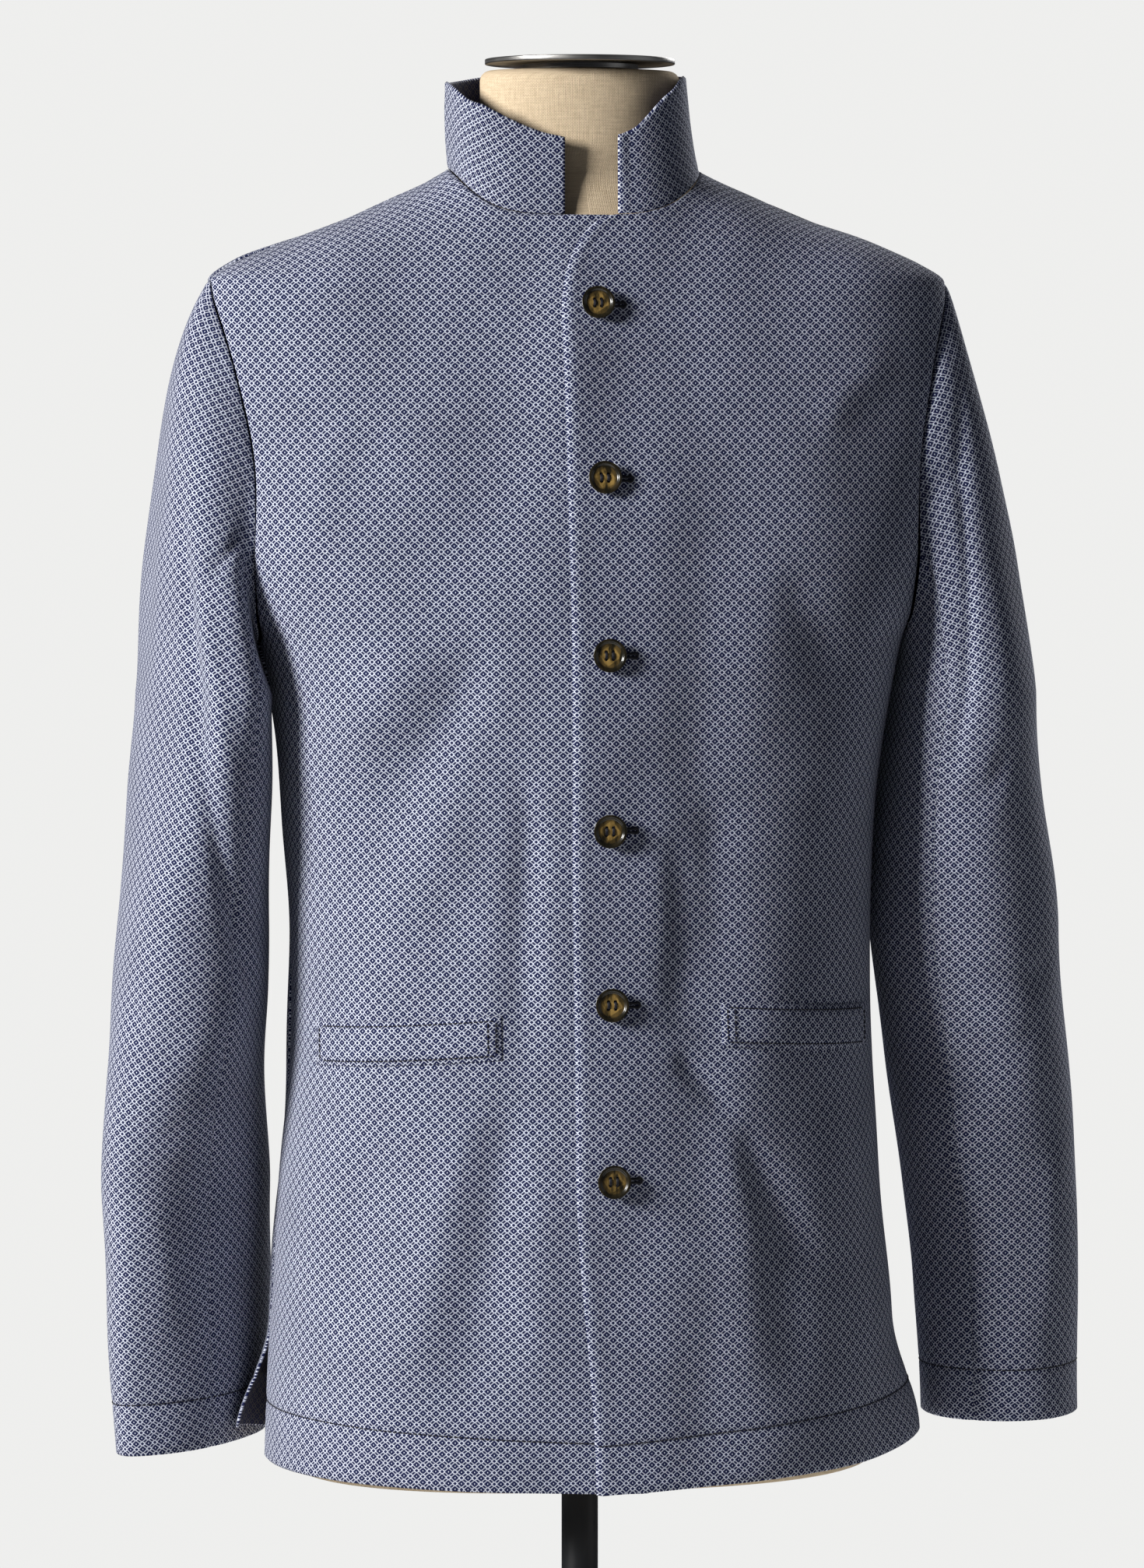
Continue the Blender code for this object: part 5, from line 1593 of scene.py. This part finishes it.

# %% [markdown]
# Horn is layered, so its colour drifts in soft streaks from dark olive brown to amber. The streaks are
# stretched noise on Object coordinates, which differ from button to button, as in real horn. The dished
# middle is more amber than the rim. The rim is painted near black, partly the horn's own darker colour and
# partly painted shade on its slope. An attribute on the mesh says how far out a point is.

# %% Horn
HORN_DARK = (0.010, 0.009, 0.005, 1.0)
HORN_AMBER = (0.33, 0.21, 0.060, 1.0)
HORN_STREAKS = (260.0, 260.0, 90.0)
RADIUS_NAME = "out_from_middle"


def horn_material():
    material, tree, shader = new_material("brown_horn", 0.26)
    shader.inputs["Coat Weight"].default_value = 0.4
    shader.inputs["Coat Roughness"].default_value = 0.12
    streak = noise(tree, stretched(tree, object_place(tree), HORN_STREAKS), 1.0, 3.0)
    out = tree.nodes.new("ShaderNodeAttribute")
    out.attribute_name = RADIUS_NAME
    # Painted shade: the rim and its slope are darkened by how far out a point is, on top of the horn's own
    # darker rim colour.
    middle = remap(tree, out.outputs["Fac"], 0.50, 0.76, 0.85, 0.03, soft=True)
    amber = calc(tree, "MULTIPLY", middle, remap(tree, streak, 0.38, 0.62, 0.05, 1.45))
    wire(tree, shader.inputs["Base Color"], blend_colours(tree, amber, HORN_DARK, HORN_AMBER))
    wire(tree, shader.inputs["Roughness"], remap(tree, streak, 0.3, 0.7, 0.2, 0.34))
    return material


HORN = horn_material()
print("material:", HORN.name)

# %% [markdown]
# The button is turned: a disc with a raised rim, a dished middle and four holes. A cylinder is inset for the
# rim and for the slope inside it, its middle is lowered, its foot is narrowed, the edges are bevelled, and
# four small cylinders are cut out. It is modelled once and copied to the six places.

# %% Button model
BUTTON_RADIUS = 0.0098
BUTTON_HEIGHT = 0.0034
BUTTON_DISH = 0.0011
BUTTON_RIM = 0.0017
BUTTON_RIM_SLOPE = 0.0008
BUTTON_BEVEL = 0.0005
BUTTON_FOOT = 0.74
BUTTON_MIDDLE_DISH = 0.2 * BUTTON_DISH
BUTTON_VERTICES = 64
BUTTON_OFF_PANEL = 0.0007
HOLE_PLACE = 0.0020
HOLE_RADIUS = 0.00105
HOLE_VERTICES = 20
HOLE_BEVEL = 0.00012
LEVEL = 0.9
SMOOTH_ANGLE = math.radians(35.0)


def select_faces(piece, wanted):
    """Select the faces for which wanted(polygon) is true, and enter edit mode on faces."""
    bpy.ops.object.mode_set(mode="EDIT")
    bpy.ops.mesh.select_mode(type="FACE")
    bpy.ops.mesh.select_all(action="DESELECT")
    bpy.ops.object.mode_set(mode="OBJECT")
    for polygon in piece.data.polygons:
        polygon.select = wanted(polygon)
    bpy.ops.object.mode_set(mode="EDIT")


def apply_modifier(piece, kind, **settings):
    modifier = piece.modifiers.new(kind.lower(), kind)
    for name, value in settings.items():
        setattr(modifier, name, value)
    bpy.context.view_layer.objects.active = piece
    bpy.ops.object.modifier_apply(modifier=modifier.name)


def cut_holes(piece):
    """Cut the four sewing holes with small cylinders."""
    start_piece()
    cutters = []
    for x in (-HOLE_PLACE, HOLE_PLACE):
        for y in (-HOLE_PLACE, HOLE_PLACE):
            bpy.ops.mesh.primitive_cylinder_add(
                vertices=HOLE_VERTICES, radius=HOLE_RADIUS, depth=4 * BUTTON_HEIGHT, location=(x, y, 0.0)
            )
            cutters.append(bpy.context.object)
    for cutter in cutters:
        cutter.select_set(True)
    bpy.ops.object.join()
    cutter = bpy.context.object
    apply_modifier(piece, "BOOLEAN", operation="DIFFERENCE", object=cutter, solver="EXACT")
    bpy.data.objects.remove(cutter, do_unlink=True)


def button_disc():
    start_piece()
    middle = (0.0, 0.0, BUTTON_HEIGHT / 2)
    bpy.ops.mesh.primitive_cylinder_add(
        vertices=BUTTON_VERTICES, radius=BUTTON_RADIUS, depth=BUTTON_HEIGHT, location=middle
    )
    bpy.ops.object.transform_apply(location=True, rotation=True, scale=True)
    piece = bpy.context.object
    select_faces(piece, lambda polygon: polygon.normal.z > LEVEL)
    bpy.ops.mesh.inset(thickness=BUTTON_RIM)
    bpy.ops.mesh.inset(thickness=BUTTON_RIM_SLOPE)
    bpy.ops.transform.translate(value=(0.0, 0.0, -BUTTON_DISH))
    bpy.ops.mesh.inset(thickness=BUTTON_RIM_SLOPE)
    bpy.ops.transform.translate(value=(0.0, 0.0, -BUTTON_MIDDLE_DISH))
    select_faces(piece, lambda polygon: polygon.normal.z < -LEVEL)
    bpy.ops.transform.resize(value=(BUTTON_FOOT, BUTTON_FOOT, 1.0))
    bpy.ops.object.mode_set(mode="OBJECT")
    apply_modifier(
        piece, "BEVEL", width=BUTTON_BEVEL, segments=4, limit_method="ANGLE", angle_limit=math.radians(20.0)
    )
    cut_holes(piece)
    apply_modifier(
        piece, "BEVEL", width=HOLE_BEVEL, segments=2, limit_method="ANGLE", angle_limit=math.radians(60.0)
    )
    return piece


BUTTON = button_disc()
print("button faces:", len(BUTTON.data.polygons))

# %% [markdown]
# Each copy is turned and moved in its mesh to lie on the left front at the centre line. Its sewing thread is
# three bars side by side from hole to hole.

# %% Buttons in place
BUTTON_THREAD_RADIUS = 0.00034
BUTTON_THREAD_BESIDE = 0.00042
BUTTON_THREAD_REACH = HOLE_PLACE + 0.0003


def button_thread():
    """Bars of thread from the lower holes to the upper ones, in the button's own place."""
    floor = BUTTON_HEIGHT - BUTTON_DISH - BUTTON_MIDDLE_DISH
    starts, ends = [], []
    for x in (-HOLE_PLACE, HOLE_PLACE):
        for beside in (-BUTTON_THREAD_BESIDE, 0.0, BUTTON_THREAD_BESIDE):
            starts.append((x + beside, -BUTTON_THREAD_REACH, floor))
            ends.append((x + beside, BUTTON_THREAD_REACH, floor))
    normals = np.tile((0.0, 0.0, 1.0), (len(starts), 1))
    return thread_bars(np.array(starts), np.array(ends), normals, BUTTON_THREAD_RADIUS)


def place_button(index, z):
    seat, normal = on_left_front(np.array(0.0), np.array(z))
    turn = Vector(normal).to_track_quat("Z", "Y").to_matrix().to_4x4()
    place = Matrix.Translation(Vector(seat + normal * BUTTON_OFF_PANEL)) @ turn
    mesh = BUTTON.data.copy()
    out = [math.hypot(point.co.x, point.co.y) / BUTTON_RADIUS for point in mesh.vertices]
    mesh.attributes.new(RADIUS_NAME, "FLOAT", "POINT").data.foreach_set("value", out)
    mesh.materials.clear()
    mesh.materials.append(HORN)
    mesh.transform(place)
    piece = linked(f"horn_button_{index}", mesh)
    start_piece()
    piece.select_set(True)
    bpy.context.view_layer.objects.active = piece
    bpy.ops.object.shade_smooth_by_angle(angle=SMOOTH_ANGLE)
    stands_for(piece, f"button_{index}")
    points, faces = button_thread()
    matrix = np.array(place)
    return points @ matrix[:3, :3].T + matrix[:3, 3], faces


sewn = [place_button(index + 1, z) for index, z in enumerate(button_heights())]
bpy.data.objects.remove(BUTTON, do_unlink=True)
thread_piece("button_thread", sewn)

# %% [markdown]
# The dress form is a padded torso with a neck, under a tight linen cover. Only its neck and a strip below
# the hem show. Rings are worked out from the jacket's rings, moved in, so it stays clear of the cloth, and
# many of them give the smooth swell of padding.

# %% Dress form
# Height, how far the form lies inside the jacket at side, front and back
FORM_INSETS = (
    (0.768, 0.0100, 0.0080, 0.0080),
    (0.935, 0.0120, 0.0120, 0.0110),
    (1.070, 0.0110, 0.0120, 0.0120),
    (1.200, 0.0100, 0.0085, 0.0085),
    (1.245, 0.0125, 0.0060, 0.0060),
    (1.300, 0.0260, 0.0050, 0.0050),
    (1.350, 0.0290, 0.0045, 0.0045),
    (1.400, 0.0310, 0.0038, 0.0038),
    (1.440, 0.0260, 0.0036, 0.0036),
    (1.456, 0.0170, 0.0034, 0.0034),
    (1.466, 0.0050, 0.0032, 0.0032),
    (1.476, 0.0020, 0.0032, 0.0032),
    (1.506, 0.0020, 0.0062, 0.0050),
    (1.5206, 0.0100, 0.0085, 0.0120),
    (1.535, 0.0115, 0.0080, 0.0120),
)
FORM_BELOW_CLOTH = 0.0034
FORM_BOTTOM = 0.7598
FORM_BOTTOM_ROUND = 0.012
FORM_SIDES = 160
FORM_BODY_RINGS = 90
NECK_BOTTOM = 1.535
FORM_SHIFTED_TO = 1.512
NECK_HALF_WIDTH = 0.0585
NECK_FRONT = 0.0410
NECK_BACK = 0.0540
NECK_TOP = 1.5775
NECK_ROUND = 0.006
NECK_RINGS = 12
ROUND_RINGS = 8
FORM_ANGLES = np.linspace(0.0, 2.0 * np.pi, FORM_SIDES, endpoint=False)[None, :]


def form_rings(z, inset):
    """Torso rings at heights z, drawn in by an inset."""
    side, front, back, squareness = (column[:, None] for column in table_at(BODY_RINGS, z + FORM_BELOW_CLOTH))
    inset_side, inset_front, inset_back = (column[:, None] for column in table_at(FORM_INSETS, z))
    depth = np.where(np.cos(FORM_ANGLES) > 0.0, front - inset_front, back - inset_back)
    shift = neck_shift(z) * smooth((NECK_BOTTOM - z) / (NECK_BOTTOM - FORM_SHIFTED_TO))
    x = (side - inset_side) * signed_power(np.sin(FORM_ANGLES), 2.0 / squareness) + shift[:, None]
    y = -depth * signed_power(np.cos(FORM_ANGLES), 2.0 / squareness)
    keep = 1.0 - inset[:, None] / np.hypot(x, y)
    return np.stack((x * keep, y * keep, np.broadcast_to(z[:, None], x.shape)), axis=-1)


def neck_rings(z, inset):
    depth = np.where(np.cos(FORM_ANGLES) > 0.0, NECK_FRONT, NECK_BACK)
    x = (NECK_HALF_WIDTH - inset[:, None]) * np.sin(FORM_ANGLES)
    y = -(depth - inset[:, None]) * np.cos(FORM_ANGLES)
    return np.stack((x, y, np.broadcast_to(z[:, None], x.shape)), axis=-1)


def dress_form():
    turn = np.linspace(0.0, np.pi / 2, ROUND_RINGS)
    low_z = FORM_BOTTOM + FORM_BOTTOM_ROUND * (1.0 - np.cos(turn))
    low = form_rings(low_z, FORM_BOTTOM_ROUND * (1.0 - np.sin(turn)))
    body_z = np.linspace(FORM_BOTTOM + FORM_BOTTOM_ROUND, NECK_BOTTOM, FORM_BODY_RINGS)[1:]
    body = form_rings(body_z, np.zeros_like(body_z))
    neck_side = NECK_TOP - NECK_ROUND
    neck_z = np.linspace(NECK_BOTTOM, neck_side, NECK_RINGS)[1:]
    neck = neck_rings(neck_z, np.zeros_like(neck_z))
    top = neck_rings(neck_side + NECK_ROUND * np.sin(turn[1:]), NECK_ROUND * (1.0 - np.cos(turn[1:])))
    rings = np.concatenate((low, body, neck, top))
    count = len(rings)
    numbers = np.arange(count * FORM_SIDES).reshape(count, FORM_SIDES)
    after = np.roll(numbers, -1, axis=1)
    quads = np.stack((numbers[:-1], after[:-1], after[1:], numbers[1:]), axis=-1).reshape(-1, 4)
    faces = quads.tolist() + [numbers[0, ::-1].tolist(), numbers[-1].tolist()]
    mesh = bpy.data.meshes.new("linen_form")
    mesh.from_pydata(rings.reshape(-1, 3).tolist(), [], faces)
    closed = np.concatenate((rings, rings[:, :1]), axis=1)
    around = distance_from(closed, 1, False)
    up = np.repeat(distance_from(closed, 0, False)[:, :1], FORM_SIDES + 1, axis=1)
    flat = np.stack((around, up), axis=-1)
    corners = np.stack((flat[:-1, :-1], flat[:-1, 1:], flat[1:, 1:], flat[1:, :-1]), axis=2).reshape(-1, 2)
    caps = np.concatenate((rings[0, ::-1, :2], rings[-1, :, :2]))
    layer = mesh.uv_layers.new(name=WEAVE_MAP)
    layer.data.foreach_set("uv", np.concatenate((corners, caps)).astype(np.float32).ravel())
    mesh.shade_smooth()
    mesh.materials.append(LINEN)
    piece = linked("linen_form", mesh)
    stands_for(piece, "dress_form")
    print("dress form", round(NECK_TOP - FORM_BOTTOM, 3), "m tall,", len(quads), "faces")


dress_form()

# %% [markdown]
# The cap on the neck is a steel disc on a small hub, brushed round its middle. The pole and the base are
# painted satin black. Brushing is fine noise that changes outwards and not round the middle, and paint is
# a soft unevenness in colour and roughness.

# %% Metal materials
STEEL_DARK = (0.18, 0.175, 0.165, 1.0)
STEEL_LIGHT = (0.42, 0.41, 0.40, 1.0)
BRUSH_SCALE = 5200.0
PAINT_DARK = (0.008, 0.009, 0.011, 1.0)
PAINT_LIGHT = (0.02, 0.022, 0.027, 1.0)
METAL_BUMP = 0.00004


def steel_material():
    material, tree, shader = new_material("brushed_steel", 0.3)
    shader.inputs["Metallic"].default_value = 1.0
    shader.inputs["Anisotropic"].default_value = 0.55
    place = object_place(tree)
    split = tree.nodes.new("ShaderNodeSeparateXYZ")
    wire(tree, split.inputs[0], place)
    squares = [calc(tree, "POWER", split.outputs[axis], 2.0) for axis in ("X", "Y")]
    out = calc(tree, "POWER", calc(tree, "ADD", *squares), 0.5)
    ring = tree.nodes.new("ShaderNodeCombineXYZ")
    wire(tree, ring.inputs["X"], out)
    wire(tree, ring.inputs["Y"], split.outputs["Z"])
    brushed = noise(tree, ring.outputs[0], BRUSH_SCALE, 3.0)
    cloud = noise(tree, place, 36.0, 2.0)
    tone = calc(tree, "ADD", calc(tree, "MULTIPLY", brushed, 0.6), calc(tree, "MULTIPLY", cloud, 0.4))
    share = remap(tree, tone, 0.35, 0.65, 0.0, 1.0)
    wire(tree, shader.inputs["Base Color"], blend_colours(tree, share, STEEL_DARK, STEEL_LIGHT))
    wire(tree, shader.inputs["Roughness"], remap(tree, tone, 0.35, 0.65, 0.24, 0.42))
    wire(tree, shader.inputs["Normal"], bump(tree, brushed, METAL_BUMP, 0.3))
    return material


def black_paint_material():
    material, tree, shader = new_material("satin_black", 0.4)
    place = object_place(tree)
    cloud = noise(tree, place, 45.0, 4.0)
    wire(tree, shader.inputs["Base Color"], blend_colours(tree, cloud, PAINT_DARK, PAINT_LIGHT))
    wire(tree, shader.inputs["Roughness"], remap(tree, cloud, 0.3, 0.7, 0.33, 0.47))
    wire(tree, shader.inputs["Normal"], bump(tree, noise(tree, place, 900.0, 2.0), METAL_BUMP, 0.25))
    return material


STEEL = steel_material()
BLACK_PAINT = black_paint_material()
print("materials:", STEEL.name, BLACK_PAINT.name)

# %% [markdown]
# Cap, pole and base are turned parts. Each starts as a cylinder at its CAD node's size, and bevels break its
# sharp edges, which would look like paper without them. The cap's hub is inset from its underside and
# pulled down to the neck.

# %% Cap, pole and base
CAP_RADIUS = 0.0555
CAP_THICKNESS = 0.003
CAP_HUB_RADIUS = 0.034
CAP_HUB_HEIGHT = 0.0035
POLE_RADIUS = 0.0108
BASE_RADIUS = 0.180
BASE_THICKNESS = 0.008
CAP_BEVEL = 0.0005
POLE_BEVEL = 0.0006
BASE_BEVEL = 0.0018
BEVEL_ANGLE = math.radians(40.0)
ROUND_VERTICES = 128


def turned_start(name, radius, low, high):
    """Cylinder between two heights, as the start of a turned part."""
    start_piece()
    bpy.ops.mesh.primitive_cylinder_add(
        vertices=ROUND_VERTICES, radius=radius, depth=high - low, location=(0.0, 0.0, (low + high) / 2)
    )
    bpy.ops.object.transform_apply(location=True, rotation=True, scale=True)
    piece = bpy.context.object
    piece.name = name
    return piece


def finish_turned(piece, node, material, bevel):
    bpy.ops.object.mode_set(mode="OBJECT")
    apply_modifier(piece, "BEVEL", width=bevel, segments=4, limit_method="ANGLE", angle_limit=BEVEL_ANGLE)
    bpy.ops.object.shade_smooth_by_angle(angle=SMOOTH_ANGLE)
    piece.data.materials.clear()
    piece.data.materials.append(material)
    stands_for(piece, node)
    print(piece.name, "replaces", node)


def neck_cap():
    bottom = NECK_TOP + SEAM_GAP
    disc = bottom + CAP_HUB_HEIGHT
    piece = turned_start("steel_cap", CAP_RADIUS, disc, disc + CAP_THICKNESS)
    select_faces(piece, lambda polygon: polygon.normal.z < -LEVEL)
    bpy.ops.mesh.inset(thickness=CAP_RADIUS - CAP_HUB_RADIUS)
    bpy.ops.mesh.extrude_region_move(TRANSFORM_OT_translate={"value": (0.0, 0.0, -CAP_HUB_HEIGHT)})
    finish_turned(piece, "neck_cap", STEEL, CAP_BEVEL)


def pole_and_base():
    pole = turned_start("painted_pole", POLE_RADIUS, BASE_THICKNESS + SEAM_GAP, FORM_BOTTOM - SEAM_GAP)
    finish_turned(pole, "pole", BLACK_PAINT, POLE_BEVEL)
    base = turned_start("painted_base", BASE_RADIUS, 0.0, BASE_THICKNESS)
    finish_turned(base, "base", BLACK_PAINT, BASE_BEVEL)


neck_cap()
pole_and_base()

# %% [markdown]
# The studio: a pale floor, a soft light on the viewer's left, a weak one on the right, one behind at the
# wearer's left, and a pale surrounding. The camera sees the surrounding bright, as the photograph's
# backdrop is, but it lights the jacket less, or the folds would wash out. Light Path tells the two apart.

# %% Studio
FLOOR_RADIUS = 1.7
FLOOR_DARK = (0.80, 0.80, 0.79, 1.0)
FLOOR_LIGHT = (0.84, 0.84, 0.83, 1.0)
BACKDROP = (0.86, 0.86, 0.85, 1.0)
AMBIENT = (0.036, 0.038, 0.043, 1.0)
# Name, place, aim, size, watts, colour
LIGHTS = (
    ("key", (-3.62, -1.69, 2.55), (0.0, 0.0, 1.25), 1.1, 258.0, (1.0, 0.99, 0.975)),
    ("fill", (3.2, -1.2, 1.7), (0.1, 0.0, 1.1), 2.2, 6.0, (0.95, 0.97, 1.0)),
    ("behind", (2.1, 2.5, 2.6), (0.0, 0.0, 1.2), 1.6, 70.0, (1.0, 1.0, 1.0)),
)


def studio_floor():
    start_piece()
    bpy.ops.mesh.primitive_circle_add(vertices=ROUND_VERTICES, radius=FLOOR_RADIUS, fill_type="NGON")
    floor = bpy.context.object
    floor.name = "floor"
    material, tree, shader = new_material("pale_floor", 0.7)
    shade = remap(tree, noise(tree, object_place(tree), 6.0), 0.3, 0.7, 0.0, 1.0)
    wire(tree, shader.inputs["Base Color"], blend_colours(tree, shade, FLOOR_DARK, FLOOR_LIGHT))
    floor.data.materials.append(material)


def studio_lights():
    for name, place, aim, size, watts, colour in LIGHTS:
        data = bpy.data.lights.new(name, "AREA")
        data.energy = watts
        data.size = size
        data.color = colour
        light = bpy.data.objects.new(name, data)
        light.location = place
        light.rotation_euler = (Vector(aim) - Vector(place)).to_track_quat("-Z", "Y").to_euler()
        bpy.context.scene.collection.objects.link(light)


def studio_world():
    world = bpy.data.worlds.new("pale_studio")
    world.use_nodes = True
    tree = world.node_tree
    seen = tree.nodes.new("ShaderNodeLightPath").outputs["Is Camera Ray"]
    background = tree.nodes["Background"]
    wire(tree, background.inputs["Color"], blend_colours(tree, seen, AMBIENT, BACKDROP))
    bpy.context.scene.world = world
    bpy.context.scene.view_settings.view_transform = "Standard"


studio_floor()
studio_lights()
studio_world()
print("lights:", [row[0] for row in LIGHTS])
